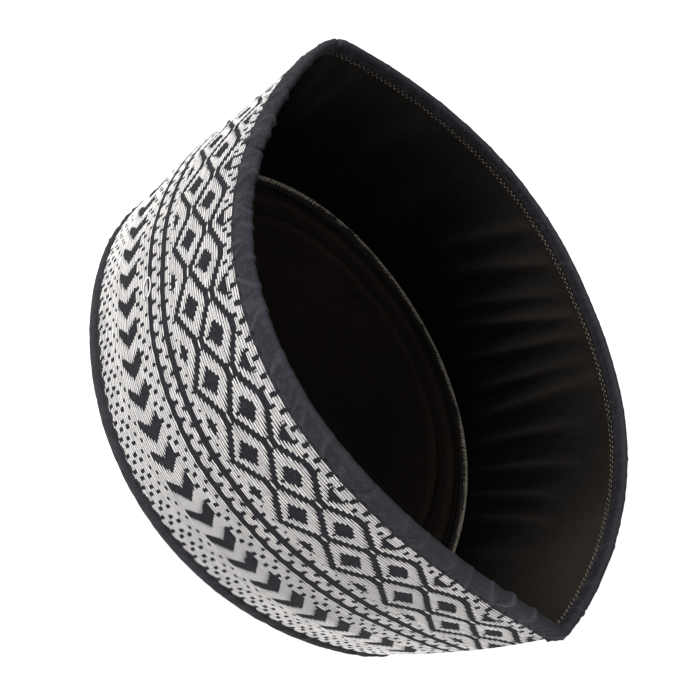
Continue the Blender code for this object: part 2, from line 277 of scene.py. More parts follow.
def rim_side(side):
    """Rim outline: a bowed side whose height falls with the square of x."""
    shape = NEAR_SIDE if side < 0 else FAR_SIDE

    def width_power(cosine):
        return shape.width_power + shape.corner_power * np.clip(-cosine, 0, 1) ** shape.corner_reach

    x, y = side_line(RIM_HALF_LENGTH, shape.half_width, shape.length_power, width_power, side)
    along = x / RIM_HALF_LENGTH
    z = RIM_HEIGHT - CORNER_DIP * along ** 2 + RIM_CLIMB * along
    return np.stack([x + RIM_LEAN_X, y + RIM_LEAN_Y, z], axis=-1)


def walk(line, share):
    """Points at given shares of a line's own length."""
    steps = np.linalg.norm(np.diff(line, axis=0), axis=1)
    length = np.concatenate(([0.0], np.cumsum(steps)))
    return np.stack([np.interp(share * length[-1], length, axis) for axis in line.T], axis=-1)


def round_line(turn, side_points):
    """Points at given turns: the first half turn on the near side, the second on the far one."""
    turn = np.mod(turn, 1.0)
    near = walk(side_points(-1), np.clip(2 * turn, 0, 1))
    far = walk(side_points(1), np.clip(2 * turn - 1, 0, 1))
    return np.where((turn < 0.5)[:, None], near, far)


def unit(vectors):
    """Vectors brought to length one."""
    return vectors / np.linalg.norm(vectors, axis=-1, keepdims=True)


def softened(line, reach):
    """A closed line averaged with its neighbours, weighted by a bell curve of this reach."""
    count = len(line)
    length = np.linalg.norm(np.roll(line, -1, axis=0) - line, axis=1).sum()
    waves = np.fft.rfftfreq(count, d=length / count)
    bell = np.exp(-2 * (np.pi * waves * reach) ** 2)
    return np.fft.irfft(np.fft.rfft(line, axis=0) * bell[:, None], n=count, axis=0)


class Wall:
    """The lofted wall. A point is the crown and rim points mixed by the rise, plus the bulge."""

    def __init__(self):
        turn = np.arange(KEPT_TURNS) / KEPT_TURNS
        self.rim = softened(round_line(turn, rim_side), CORNER_SOFTNESS)
        self.crown = softened(round_line(turn, crown_side), CORNER_SOFTNESS)
        ahead, behind = turn + TANGENT_STEP, turn - TANGENT_STEP
        self.rim_run = round_line(ahead, rim_side) - round_line(behind, rim_side)
        self.crown_run = round_line(ahead, crown_side) - round_line(behind, crown_side)
        self.slant = np.linalg.norm(self.rim - self.crown, axis=1)
        self.circuit = np.linalg.norm(np.roll(self.rim, -1, axis=0) - self.rim, axis=1).sum()

    def read(self, table, turn):
        """A kept table read at any turn, straight between two kept places."""
        place = np.mod(turn, 1.0) * KEPT_TURNS
        before = np.floor(place).astype(int)
        share = place - before
        if table.ndim > 1:
            share = share[..., None]
        first, second = table[before % KEPT_TURNS], table[(before + 1) % KEPT_TURNS]
        return first * (1 - share) + second * share

    def from_floor(self, turn, height):
        """The rise at a height above the floor."""
        return height / self.read(self.rim[:, 2], turn)

    def from_rim(self, turn, drop):
        """The rise at a distance below the rim."""
        return 1.0 - drop / self.read(self.slant, turn)

    def outward(self, turn, rise):
        """The level direction square to the wall."""
        rise = np.broadcast_to(rise, np.shape(turn))[..., None]
        run = self.read(self.rim_run, turn) * rise + self.read(self.crown_run, turn) * (1 - rise)
        return unit(np.stack([-run[..., 1], run[..., 0], np.zeros(run.shape[:-1])], axis=-1))

    def points(self, turn, rise, out):
        """Points at arrays of turn, rise and out."""
        turn, rise, out = np.broadcast_arrays(turn, rise, out)
        crown, rim = self.read(self.crown, turn), self.read(self.rim, turn)
        outward = self.outward(turn, rise)
        climb = rim - crown
        lean = (climb * outward).sum(axis=-1) / climb[..., 2]
        angle = 2 * np.pi * turn
        bulge = BULGE_MEAN + BULGE_ONCE * np.cos(angle) + BULGE_TWICE * np.cos(2 * angle)
        shift = bulge * 4 * rise * (1 - rise) + out * np.sqrt(1 + lean ** 2)
        for tuck in TUCKS:
            away = turn - tuck.turn
            away = (away - np.round(away)) / tuck.width
            shift = shift - tuck.depth * np.exp(-away ** 2 - ((rise - tuck.rise) / tuck.height) ** 2)
        rise = rise[..., None]
        return rim * rise + crown * (1 - rise) + outward * shift[..., None] - CENTRE


WALL = Wall()


def slack(turn, rise):
    """Gentle waves of the wall cloth: sines of turn and rise, nought at its two held edges."""
    hold = np.clip((rise - SLACK_LOW) / (SLACK_HIGH - SLACK_LOW), 0, 1)
    angle = 2 * np.pi * turn
    wave = (0.4 * np.sin(9 * angle + 5 * rise) + 0.3 * np.sin(17 * angle - 7 * rise + 1.3)
            + 0.2 * np.sin(31 * angle + 11 * rise + 0.4) + 0.25 * np.sin(4 * angle - 3 * rise + 2.1))
    return SLACK_DEPTH * (1.1 + wave) * np.sin(np.pi * hold) ** 0.6


def scattered_creases(seed, count, along, width, length, depth, slant):
    """A table of creases at even turns, each number drawn between its two limits."""
    draw = np.random.default_rng(seed)
    turn = (np.arange(count) + draw.uniform(-0.4, 0.4, count)) / count
    columns = [draw.uniform(*limits, count) for limits in (along, width, length, depth, slant)]
    return [Crease(*row) for row in zip(turn, *columns)]


def creased(creases, turn, along):
    """Sum of bell-shaped ridges, each long up the wall and narrow round it, leaning by its slant."""
    turn, along = np.broadcast_arrays(turn, along)
    total = np.zeros(turn.shape)
    for crease in creases:
        away = turn - crease.turn
        away = (away - np.round(away)) * WALL.circuit - crease.slant * (along - crease.along)
        reach = (along - crease.along) / crease.length
        total += crease.depth * np.exp(-(away / crease.width) ** 2 - reach ** 2)
    return total


# Meshes from whole arrays.

def enclosed(points, faces):
    """Signed volume: the sum of each triangle's corner product, over six."""
    total = 0.0
    for group in faces:
        for last in range(2, group.shape[1]):
            a, b, c = points[group[:, 0]], points[group[:, last - 1]], points[group[:, last]]
            total += float((a * np.cross(b, c)).sum()) / 6
    return total


def mesh_piece(name, points, faces, uvs, finish, marks=None):
    """An object from point, face and texture arrays, with its faces turned outward."""
    if enclosed(points, faces) < 0:
        faces = [group[:, ::-1] for group in faces]
        uvs = [group[:, ::-1] for group in uvs]
    mesh = bpy.data.meshes.new(name)
    corners = np.concatenate([group.ravel() for group in faces]).astype(np.int32)
    sizes = np.concatenate([np.full(len(group), group.shape[1]) for group in faces])
    starts = np.concatenate(([0], np.cumsum(sizes)[:-1])).astype(np.int32)
    mesh.vertices.add(len(points))
    mesh.vertices.foreach_set("co", points.astype(np.float32).ravel())
    mesh.loops.add(len(corners))
    mesh.loops.foreach_set("vertex_index", corners)
    mesh.polygons.add(len(sizes))
    mesh.polygons.foreach_set("loop_start", starts)
    mesh.update(calc_edges=True)
    layer = mesh.uv_layers.new(name="Cloth")
    layer.uv.foreach_set("vector", np.concatenate([group.reshape(-1) for group in uvs]).astype(np.float32))
    for key, values in (marks or {}).items():
        mark = mesh.attributes.new(key, "FLOAT", "POINT")
        mark.data.foreach_set("value", np.asarray(values, np.float32).ravel())
    mesh.shade_smooth()
    if mesh.validate():
        raise RuntimeError(f"{name} has faces that aren't sound")
    mesh.materials.append(finish)
    piece = bpy.data.objects.new(name, mesh)
    bpy.context.scene.collection.objects.link(piece)
    return piece


def placed(piece, node=None):
    """Fix a finished piece to the cap, in the place of a frame node where one is named."""
    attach(piece, "root")
    if node:
        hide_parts(node)
    return piece


def grid_quads(rows, columns, closed=False):
    """Each quad's row and column in a grid of points that meets itself round its columns, and
    where it is closed round its rows too, and the quads' corners."""
    row, column = np.meshgrid(np.arange(rows if closed else rows - 1), np.arange(columns),
                              indexing="ij")
    below, beside = (row + 1) % rows, (column + 1) % columns
    quads = np.stack([row * columns + column, row * columns + beside,
                      below * columns + beside, below * columns + column], axis=-1)
    return row, column, quads.reshape(-1, 4)


def section_lengths(section):
    """Distance walked along a closed section, one value more than its corners."""
    closed = np.concatenate([section, section[:1]])
    return np.concatenate(([0.0], np.cumsum(np.hypot(*np.diff(closed, axis=0).T))))


def ring_piece(name, points, section, finish, marks=None):
    """A closed strip round the cap: a grid of section rows by turn columns that meets itself
    both ways. The texture runs in metres, round the wall and along the section, which is given
    as a table of how far along and how far out."""
    columns, lengths = points.shape[1], section_lengths(section)
    row, column, quads = grid_quads(*points.shape[:2], closed=True)
    step = WALL.circuit / columns
    u = np.stack([column, column + 1, column + 1, column], axis=-1) * step
    v = np.stack([lengths[row], lengths[row], lengths[row + 1], lengths[row + 1]], axis=-1)
    uv = np.stack([u, v], axis=-1)
    return mesh_piece(name, points.reshape(-1, 3), [quads], [uv.reshape(-1, 4, 2)], finish, marks)


def drawn_in(edge, middle, share, height):
    """The edge of the crown drawn in to a share of its distance from the middle, at a height."""
    ring = middle + (edge - middle) * share
    ring[:, 2] = height
    return ring


def disc_piece(name, rings, top, bottom, finish):
    """A closed disc: rings of points from its top middle over the edge to its bottom middle,
    closed at both middles by a fan. The texture is the plan, in metres."""
    rows, columns = rings.shape[:2]
    points = np.concatenate([rings.reshape(-1, 3), [top, bottom]])
    quads = grid_quads(rows, columns)[2]
    first, second = np.arange(columns), (np.arange(columns) + 1) % columns
    last = (rows - 1) * columns
    fans = np.concatenate([
        np.stack([np.full(columns, rows * columns), second, first], axis=-1),
        np.stack([np.full(columns, rows * columns + 1), last + first, last + second], axis=-1)])
    faces = [quads, fans]
    return mesh_piece(name, points, faces, [points[group][..., :2] for group in faces], finish)


Threads = namedtuple("Threads", "points faces uvs tones")


def both_ends(value):
    """A pair for the first and the last ring."""
    return value if isinstance(value, tuple) else (value, value)


def thread_rings(path, side, up, width, height, dive, tones, tip=0.6, neck=1.0):
    """Closed three-sided tubes from arrays of shape (threads, rings, 3): the path, the way
    across and the way up. Each thread is flat below and rounded above. At its two ends it
    narrows to a share of its width, the tip, and sinks by a depth, the dive. The neck is the
    share of the width on the rings next to the ends."""
    width, sink = np.array(np.broadcast_to(width, path.shape[:2])), np.zeros(path.shape[:2])
    for ring, share, depth in zip((0, -1), both_ends(tip), both_ends(dive)):
        width[:, ring] *= share
        sink[:, ring] = depth
    for ring, share in zip((1, -2), both_ends(neck)):
        width[:, ring] *= share
    width, sink = width[..., None], sink[..., None]
    height = np.broadcast_to(height, path.shape[:2])[..., None]
    low = path - up * (THREAD_FOOT + sink)
    top = path + up * np.maximum(height - sink, THREAD_FOOT - sink)
    points = np.stack([low - side * width / 2, top, low + side * width / 2], axis=2)
    count, rings = path.shape[:2]
    one = grid_quads(rings, 3)[2]
    end = (rings - 1) * 3
    caps = np.array([[0, 2, 1], [end, end + 1, end + 2]])
    base = (np.arange(count) * rings * 3)[:, None, None]
    quads, tris = (one[None] + base).reshape(-1, 4), (caps[None] + base).reshape(-1, 3)
    steps = np.linalg.norm(np.diff(path, axis=1), axis=-1)
    along = np.concatenate([np.zeros((count, 1)), np.cumsum(steps, axis=1)], axis=1)
    uv = np.stack(np.broadcast_arrays(along[:, :, None], np.array([0.0, 0.5, 1.0])), axis=-1)
    uv = uv.reshape(-1, 2)
    tones = np.repeat(np.broadcast_to(tones, count), rings * 3)
    return Threads(points.reshape(-1, 3), [quads, tris], [uv[quads], uv[tris]], tones)


def thread_piece(name, threads, finish):
    """One placed object from a set of threads."""
    piece = mesh_piece(name, threads.points, threads.faces, threads.uvs, finish,
                       {"tone": threads.tones})
    return placed(piece)


def wall_threads(start, end, rise_at, width, height, out, tones, dive=0.00025, slip=0.00035,
                 tip=0.6, neck=1.0, pinch=None):
    """Threads laid along the wall from one turn to another, of seven rings each. The dive and
    the slip say how deep a thread goes into the cloth at its ends and over which length. The
    pinch moves the two rings at each end up or down the wall. Each of these can be a pair, for
    the first end and the last one."""
    length = (end - start) * WALL.circuit
    first, last = (np.minimum(reach, 0.4 * length) for reach in both_ends(slip))
    along = np.stack([0 * length, 0.6 * first, first, length / 2, length - last,
                      length - 0.6 * last, length], axis=-1)
    turn = start[:, None] + along / WALL.circuit
    rise = rise_at(turn)
    if pinch is not None:
        still = 0 * length
        rise = rise + np.stack([pinch[0], pinch[0], still, still, still, pinch[1], pinch[1]], axis=-1)
    out = out(turn, rise)
    path = WALL.points(turn, rise, out)
    side = unit(WALL.points(turn, rise + SIDE_STEP, out) - path)
    return thread_rings(path, side, WALL.outward(turn, rise), width, height, dive, tones, tip, neck)


# The woven pattern.

def from_column(x, pitch, start):
    """Signed distance to the nearest of a set of even columns."""
    return np.mod(x - start + pitch / 2, pitch) - pitch / 2


def wander(x, drop):
    """How far the pattern slides and hangs at a place, each as a sum of bell curves."""
    slide, hang = 0.0, 0.0
    for bump in WANDERS:
        bell = np.exp(-((x - bump.x) / bump.width) ** 2 - ((drop - bump.drop) / bump.height) ** 2)
        slide, hang = slide + bump.slide * bell, hang + bump.hang * bell
    return slide, hang


def white_chart(x, drop):
    """True where a white thread lies on top, for arrays of x and drop in millimetres."""
    x, drop = np.broadcast_arrays(x, drop)
    foot = CHART_FOOT + SCALLOP_DEPTH * np.cos(2 * np.pi * x / SCALLOP_PITCH)
    dark = (drop < CHART_TOP) | (drop > foot)
    first = np.abs(from_column(x, DIAMOND_PITCH, DIAMOND_START))
    second = np.abs(from_column(x, DIAMOND_PITCH, DIAMOND_START + DIAMOND_PITCH / 2))
    for row in TICK_ROWS:
        tick = np.abs(from_column(x, TICK_PITCH, row.start)) < row.width / 2
        if row is PEAK_ROW:
            tick &= second > PEAK_CLEAR
            tick |= np.abs(second - PEAK_SIDE) < PEAK_SIDE_HALF
        dark |= tick & (drop >= row.top) & (drop < row.bottom)
    waved = drop + RAIL_WAVE * np.cos(2 * np.pi * (x - TICK_START) / TICK_PITCH)
    for rail in RAILS:
        dark |= (waved >= rail.top) & (waved < rail.bottom)
    half_pitch = DIAMOND_PITCH / 2
    for line in ZIGZAGS:
        column, flat, peak = ((first, line.at_first, line.at_second) if line.flat_at_first
                              else (second, line.at_second, line.at_first))
        share = np.clip((column - ZIGZAG_FLAT) / (half_pitch - ZIGZAG_FLAT), 0, 1)
        middle = flat + (peak - flat) * share
        dark |= np.abs(drop - middle) < ZIGZAG_WIDTH / 2
    for block in BLOCKS:
        column = first if block.first else second
        dark |= (column < BLOCK_HALF) & (drop > block.top) & (drop < block.bottom)
        dark &= ~((column < BAR_HALF) & (drop > block.bar_top) & (drop < block.bar_bottom))
    for centre in CENTRES:
        column, below = (first if centre.first else second), drop - centre.drop
        inside = column / CENTRE_HALF_WIDTH + np.abs(below) / CENTRE_HALF_HEIGHT < 1
        dark |= inside & (below > -CENTRE_FLAT)
        dark |= (column < STEM_HALF) & (below > 0) & (below < CENTRE_TIP)
    for wedge in WEDGES:
        share = (wedge.tip - drop) / (wedge.tip - wedge.wide)
        column = first if wedge.first else second
        dark |= (column < wedge.half_width * share) & (share > 0) & (share < 1)
    dark |= (first < STEM_HALF) & (drop >= STEM_TOP) & (drop < STEM_FOOT)
    place = np.mod(x - CHEVRON_START, CHEVRON_PITCH)
    upper = (CHEVRON_POINT - drop) / (CHEVRON_POINT - CHEVRON_TOP)
    lower = (drop - CHEVRON_POINT) / (CHEVRON_FOOT - CHEVRON_POINT)
    for share, left, right in ((upper, CHEVRON_LEAN, CHEVRON_LEAN),
                               (lower, CHEVRON_LOWER_FIRST, CHEVRON_LOWER_LAST)):
        dark |= ((share >= 0) & (share <= 1)
                 & (place > left * share) & (place < right * share + CHEVRON_WIDTH))
    return ~dark


# Kinds of thread end: square where dark lies beside or below it, toothed where dark lies
# above it, and tied where a long float is only held down.
SQUARE, TOOTHED, TIED = 0, 1, 2


def pattern_floats(settings):
    """White floats of every row: row, drop, first x and last x in millimetres, and the kind
    of both ends.

    A row reads its own drop, but among the large shapes and just below any dark one two rows
    share one reading, which gives the paired teeth along their edges. A long float is tied
    down part way.
    """
    pitch = settings.row_pitch / MM
    count = int((CHART_FOOT + 0.6 - CHART_TOP) / pitch)
    drop = CHART_TOP + 0.1 + pitch * np.arange(count)
    pair = drop[0] + 2 * pitch * (np.arange(count) // 2) + pitch / 2
    last = BAND_SEAM_TURN * CHART_LENGTH - SEAM_MARGIN
    x = np.arange(last - CHART_LENGTH + 2 * SEAM_MARGIN, last, CHART_STEP)
    own = white_chart(x[None], drop[:, None])
    shared = white_chart(x[None], pair[:, None])
    under = ~white_chart(x[None], (drop - 2 * pitch)[:, None])
    for top, foot in PAIRED_DROPS:
        under |= ((drop > top) & (drop < foot))[:, None]
    white = np.where(under, shared, own)
    edges = np.diff(np.pad(white, ((0, 0), (1, 1))).astype(np.int8), axis=1)
    row_first, first = np.nonzero(edges == 1)
    row_last, end = np.nonzero(edges == -1)
    first, end = x[first], x[np.minimum(end, len(x) - 1)]
    keep = end - first > SHORTEST_FLOAT
    row, first, end = row_first[keep], first[keep], end[keep]
    toothed = [~white_chart(at, drop[row] - 2 * pitch)
               for at in (first + END_INSET, end - END_INSET)]
    longest = settings.longest_float / MM
    # Each float is cut at the tick columns of its row, every other row half a pitch over.
    start = np.where((row // 2) % 2 == 0, TICK_START, HALF_TICK_START)
    pieces = []
    for number in range(int(CHART_LENGTH / TICK_PITCH) + 2):
        low = tie_after(first, start, number - 1) if number else first
        high = tie_after(first, start, number)
        whole = (end - first <= longest) | (high > end - TIE_MARGIN)
        wanted = (number == 0) | ((end - first > longest) & (low <= end - TIE_MARGIN))
        if not np.any(wanted):
            break
        ends = (np.full(len(row), float(TIED)) if number else 1.0 * toothed[0],
                np.where(whole, toothed[1], TIED))
        columns = (row, low, np.where(whole, end, high), *ends)
        pieces.append(np.stack(columns, axis=-1)[np.broadcast_to(wanted, row.shape)])
    row, first, last, first_end, last_end = np.concatenate(pieces).T
    return row.astype(int), drop[row.astype(int)], first, last, first_end, last_end


def tie_after(first, start, number):
    """The x of the tie that is this many ties past a float's start."""
    return start + TICK_PITCH * (np.floor((first + TIE_MARGIN - start) / TICK_PITCH) + 1 + number)


# Node groups shared by the materials.

def maths(tree, operation, first, second=None, third=None):
    """One arithmetic node; numbers are set on it and sockets are linked to it."""
    node = tree.nodes.new("ShaderNodeMath")
    node.operation = operation
    for socket, value in zip(node.inputs, (first, second, third)):
        if isinstance(value, bpy.types.NodeSocket):
            tree.links.new(value, socket)
        elif value is not None:
            socket.default_value = value
    return node.outputs[0]


def new_group(name, inputs, outputs):
    """An empty node group with named sockets, given as (name, kind, default)."""
    group = bpy.data.node_groups.new(name, "ShaderNodeTree")
    for label, kind, value in inputs:
        socket = group.interface.new_socket(name=label, in_out="INPUT", socket_type=kind)
        if value is not None:
            socket.default_value = value
    for label, kind in outputs:
        group.interface.new_socket(name=label, in_out="OUTPUT", socket_type=kind)
    return group, group.nodes.new("NodeGroupInput"), group.nodes.new("NodeGroupOutput")


FLOAT, VECTOR = "NodeSocketFloat", "NodeSocketVector"


def plain_weave_group():
    """Plain weave: ribs both ways, and crossings that go over and under by turns."""
    group, entry, leave = new_group(
        "Plain weave",
        (("Place", VECTOR, None), ("Thread Pitch", FLOAT, 0.0005), ("Row Pitch", FLOAT, 0.0005)),
        (("Height", FLOAT),))
    parts = group.nodes.new("ShaderNodeSeparateXYZ")
    group.links.new(entry.outputs["Place"], parts.inputs[0])
    across = maths(group, "DIVIDE", parts.outputs["X"], entry.outputs["Thread Pitch"])
    along = maths(group, "DIVIDE", parts.outputs["Y"], entry.outputs["Row Pitch"])
    first = maths(group, "SINE", maths(group, "MULTIPLY", across, math.pi))
    second = maths(group, "SINE", maths(group, "MULTIPLY", along, math.pi))
    ribs = maths(group, "ADD", maths(group, "ABSOLUTE", first), maths(group, "ABSOLUTE", second))
    crossing = maths(group, "MULTIPLY", first, second)
    mixed = maths(group, "ADD", maths(group, "MULTIPLY", ribs, 0.3),
                  maths(group, "MULTIPLY", crossing, 0.25))
    group.links.new(maths(group, "ADD", mixed, 0.25), leave.inputs["Height"])
    return group


def mottle_group():
    """Soft uneven dye: a broad and a fine noise of the place, round one."""
    group, entry, leave = new_group(
        "Mottle", (("Broad Scale", FLOAT, 40.0), ("Fine Scale", FLOAT, 900.0), ("Amount", FLOAT, 0.2)),
        (("Shade", FLOAT),))
    place = group.nodes.new("ShaderNodeTexCoord")
    sums = []
    for label, detail in (("Broad Scale", 3.0), ("Fine Scale", 2.0)):
        noise = group.nodes.new("ShaderNodeTexNoise")
        noise.inputs["Detail"].default_value = detail
        group.links.new(place.outputs["Object"], noise.inputs["Vector"])
        group.links.new(entry.outputs[label], noise.inputs["Scale"])
        sums.append(maths(group, "SUBTRACT", noise.outputs["Fac"], 0.5))
    both = maths(group, "ADD", sums[0], sums[1])
    shade = maths(group, "MULTIPLY_ADD", both, entry.outputs["Amount"], 1.0)
    group.links.new(shade, leave.inputs["Shade"])
    return group


def lint_group():
    """Sparse pale fibres: thin ridges of a stretched noise, as a mask."""
    group, entry, leave = new_group(
        "Lint", (("Scale", FLOAT, 260.0), ("Amount", FLOAT, 0.1)), (("Mask", FLOAT),))
    place = group.nodes.new("ShaderNodeTexCoord")
    noise = group.nodes.new("ShaderNodeTexNoise")
    noise.inputs["Detail"].default_value = 4.0
    noise.inputs["Distortion"].default_value = 1.5
    group.links.new(place.outputs["Object"], noise.inputs["Vector"])
    group.links.new(entry.outputs["Scale"], noise.inputs["Scale"])
    ridge = maths(group, "ABSOLUTE", maths(group, "SUBTRACT", noise.outputs["Fac"], 0.5))
    thin = maths(group, "SUBTRACT", 1.0, maths(group, "MULTIPLY", ridge, 60.0))
    clipped = maths(group, "MAXIMUM", thin, 0.0)
    group.links.new(maths(group, "MULTIPLY", clipped, entry.outputs["Amount"]), leave.inputs["Mask"])
    return group


def ply_group():
    """Twist of a thread: slanting strands along it, and its sides in shade."""
    group, entry, leave = new_group(
        "Thread ply", (("Place", VECTOR, None), ("Twist", FLOAT, 0.0007)),
        (("Height", FLOAT), ("Crest", FLOAT)))
    parts = group.nodes.new("ShaderNodeSeparateXYZ")
    group.links.new(entry.outputs["Place"], parts.inputs[0])
    along = maths(group, "DIVIDE", parts.outputs["X"], entry.outputs["Twist"])
    wave = maths(group, "SINE", maths(group, "MULTIPLY", maths(group, "ADD", along, parts.outputs["Y"]),
                                      2 * math.pi))
    group.links.new(maths(group, "MULTIPLY_ADD", wave, 0.5, 0.5), leave.inputs["Height"])
    side = maths(group, "ABSOLUTE", maths(group, "SUBTRACT", parts.outputs["Y"], 0.5))
    group.links.new(maths(group, "MULTIPLY_ADD", side, -2.0, 1.0), leave.inputs["Crest"])
    return group


def shared_group(key, make):
    """A node group made once and used by every material that asks for it."""
    return bpy.data.node_groups.get(key) or make()


# Materials.

def group_node(tree, key, make, **values):
    """A node that uses a shared group, with its number inputs set."""
    node = tree.nodes.new("ShaderNodeGroup")
    node.node_tree = shared_group(key, make)
    for label, value in values.items():
        node.inputs[label.replace("_", " ").title()].default_value = value
    return node


def tinted(tree, colour, factors):
    """A colour multiplied by each factor in turn."""
    node = tree.nodes.new("ShaderNodeVectorMath")
    node.operation = "SCALE"
    node.inputs[0].default_value = tuple(colour)[:3]
    product = factors[0]
    for factor in factors[1:]:
        product = maths(tree, "MULTIPLY", product, factor)
    tree.links.new(product, node.inputs["Scale"])
    return node.outputs[0]


def lightened(tree, colour, pale, mask):
    """A colour mixed towards a paler one by a mask."""
    node = tree.nodes.new("ShaderNodeMix")
    node.data_type = "RGBA"
    tree.links.new(mask, node.inputs[0])
    tree.links.new(colour, node.inputs[6])
    node.inputs[7].default_value = (*tuple(pale)[:3], 1.0)
    return node.outputs[2]


def new_material(name, roughness, sheen, sheen_roughness=0.5):
    """An empty cloth material: its tree and its shader."""
    finish = bpy.data.materials.new(name)
    finish.use_nodes = True
    shader = finish.node_tree.nodes["Principled BSDF"]
    shader.inputs["Roughness"].default_value = roughness
    shader.inputs["Specular IOR Level"].default_value = 0.12
    shader.inputs["Sheen Weight"].default_value = sheen
    shader.inputs["Sheen Roughness"].default_value = sheen_roughness
    return finish, finish.node_tree, shader


def bumped(tree, shader, height, distance, strength):
    """Relief from a height, on a shader."""
    bump = tree.nodes.new("ShaderNodeBump")
    bump.inputs["Strength"].default_value = strength
    bump.inputs["Distance"].default_value = distance
    tree.links.new(height, bump.inputs["Height"])
    tree.links.new(bump.outputs["Normal"], shader.inputs["Normal"])


def cloth_uv(tree):
    """The place on the cloth, in metres."""
    node = tree.nodes.new("ShaderNodeUVMap")
    node.uv_map = "Cloth"
    return node.outputs["UV"]


def woven_finish(name, colour, thread_pitch, row_pitch, relief, roughness=0.85, sheen=0.15,
                 mottle=0.25, shade=0.35, lint=None, fold=None):
    """Plain woven cloth: dye that varies, painted shade between its threads, with optional pale lint
    and an optional paler colour (fold) that a mark mixes in: painted light, and on the tape also wear."""
    finish, tree, shader = new_material(name, roughness, sheen)
    weave = group_node(tree, "Plain weave", plain_weave_group,
                       thread_pitch=thread_pitch, row_pitch=row_pitch)
    tree.links.new(cloth_uv(tree), weave.inputs["Place"])
    dye = group_node(tree, "Mottle", mottle_group, amount=mottle)
    # Painted shade between the threads, where the weave is low.
    between = maths(tree, "MULTIPLY_ADD", weave.outputs["Height"], shade, 1.0 - shade * 0.55)
    result = tinted(tree, colour, [dye.outputs["Shade"], between])
    # A mark mixes in the paler colour: painted light, and on the tape also wear.
    if fold:
        painted_light_and_wear = tree.nodes.new("ShaderNodeAttribute")
        painted_light_and_wear.attribute_name = "painted_light_and_wear"
        result = lightened(tree, result, fold, painted_light_and_wear.outputs["Fac"])
    if lint:
        fibres = group_node(tree, "Lint", lint_group, amount=lint[1])
        result = lightened(tree, result, lint[0], fibres.outputs["Mask"])
    tree.links.new(result, shader.inputs["Base Color"])
    bumped(tree, shader, weave.outputs["Height"], relief, 0.8)
    return finish


def thread_finish(name, colour, roughness=0.6, sheen=0.0, twist=0.0007, depth=0.4):
    """Thread: each one has its own tone, its sides are painted in shade, and its strands twist."""
    finish, tree, shader = new_material(name, roughness, sheen)
    ply = group_node(tree, "Thread ply", ply_group, twist=twist)
    tree.links.new(cloth_uv(tree), ply.inputs["Place"])
    tone = tree.nodes.new("ShaderNodeAttribute")
    tone.attribute_name = "tone"
    # Painted shade on each thread's sides, by the depth.
    painted_crest_shading = maths(tree, "MULTIPLY_ADD", ply.outputs["Crest"], depth, 1.0 - depth)
    result = tinted(tree, colour, [tone.outputs["Fac"], painted_crest_shading])
    tree.links.new(result, shader.inputs["Base Color"])
    bumped(tree, shader, ply.outputs["Height"], 0.00004, 0.6)
    return finish


# Settings.

def colour_setting(name, default, description):
    """A colour that can be set."""
    return FloatVectorProperty(name=name, description=description, default=default, size=3,
                               min=0.0, max=1.0, subtype="COLOR")


def length_setting(name, default, most, description, least=0.0, precision=5):
    """A length that can be set."""
    return FloatProperty(name=name, description=description, default=default, min=least,
                         max=most, precision=precision, unit="LENGTH")


class KUFI_PG_threads(bpy.types.PropertyGroup):
    """Woven pattern threads"""
    thread_width: length_setting("Thread width", 0.00045, 0.001, least=0.0001,
                                 description="Width of one thread as it lies on the cloth")
    thread_height: length_setting("Thread height", 0.0001, 0.001,
                                  "How far a thread stands above the cloth")
    row_pitch: length_setting("Row pitch", 0.00052, 0.002, least=0.0002,
                              description="Distance from one row of threads to the next")
    longest_float: length_setting("Longest float", 0.0065, 0.05, least=0.002, precision=4,
                                  description="A thread longer than this is tied down part way")
    pair_lean: length_setting("Pair lean", 0.00005, 0.0002,
                              "How far each thread of a pair lies towards the other")
    end_jitter: length_setting("End jitter", 0.00011, 0.001, "How unevenly the threads end")
    tooth_pinch: length_setting("Tooth pinch", 0.0001, 0.001,
                                "How far the two threads of a pair lean together at a tooth")
    tone_spread: FloatProperty(
        name="Tone spread", description="How much the threads differ in brightness",
        default=0.14, min=0.0, max=0.5, subtype="FACTOR")
    colour: colour_setting("Thread colour", (0.88, 0.855, 0.84), "Colour of the white threads")


class KUFI_PG_cloth(bpy.types.PropertyGroup):
    """Charcoal ground, crown and strip"""
    ground: colour_setting("Ground colour", (0.0088, 0.0083, 0.0115),
                           "Colour of the charcoal ground between the threads")
    strip: colour_setting("Strip colour", (0.020, 0.0195, 0.0235),
                          "Colour of the strip round the crown")
    crown: colour_setting("Crown colour", (0.034, 0.033, 0.039), "Colour of the crown cloth")
    relief: length_setting("Weave relief", 0.00012, 0.001, "Depth of the woven relief")


class KUFI_PG_tape(bpy.types.PropertyGroup):
    """Tape folded over the rim"""
    colour: colour_setting("Tape colour", (0.0135, 0.013, 0.0172), "Colour of the tape")
    # The tape's paler colour: wear and painted highlight on the top of its fold, painted highlight on its
    # crease ridges.
    painted_light_and_wear: colour_setting("Tape fold wear and painted highlight colour", (0.062, 0.060, 0.074),
                         "Colour of the tape's fold top and crease ridges: wear and painted highlight")
    puckers: IntProperty(
        name="Puckers", description="Number of small creases round the tape",
        default=200, min=0, max=400)
    pucker_depth: length_setting("Pucker depth", 0.00095, 0.002, "Depth of the deepest creases")
    stitch_pitch: length_setting("Stitch pitch", 0.0057, 0.02, least=0.001, precision=4,
                                 description="Distance from one stitch to the next")


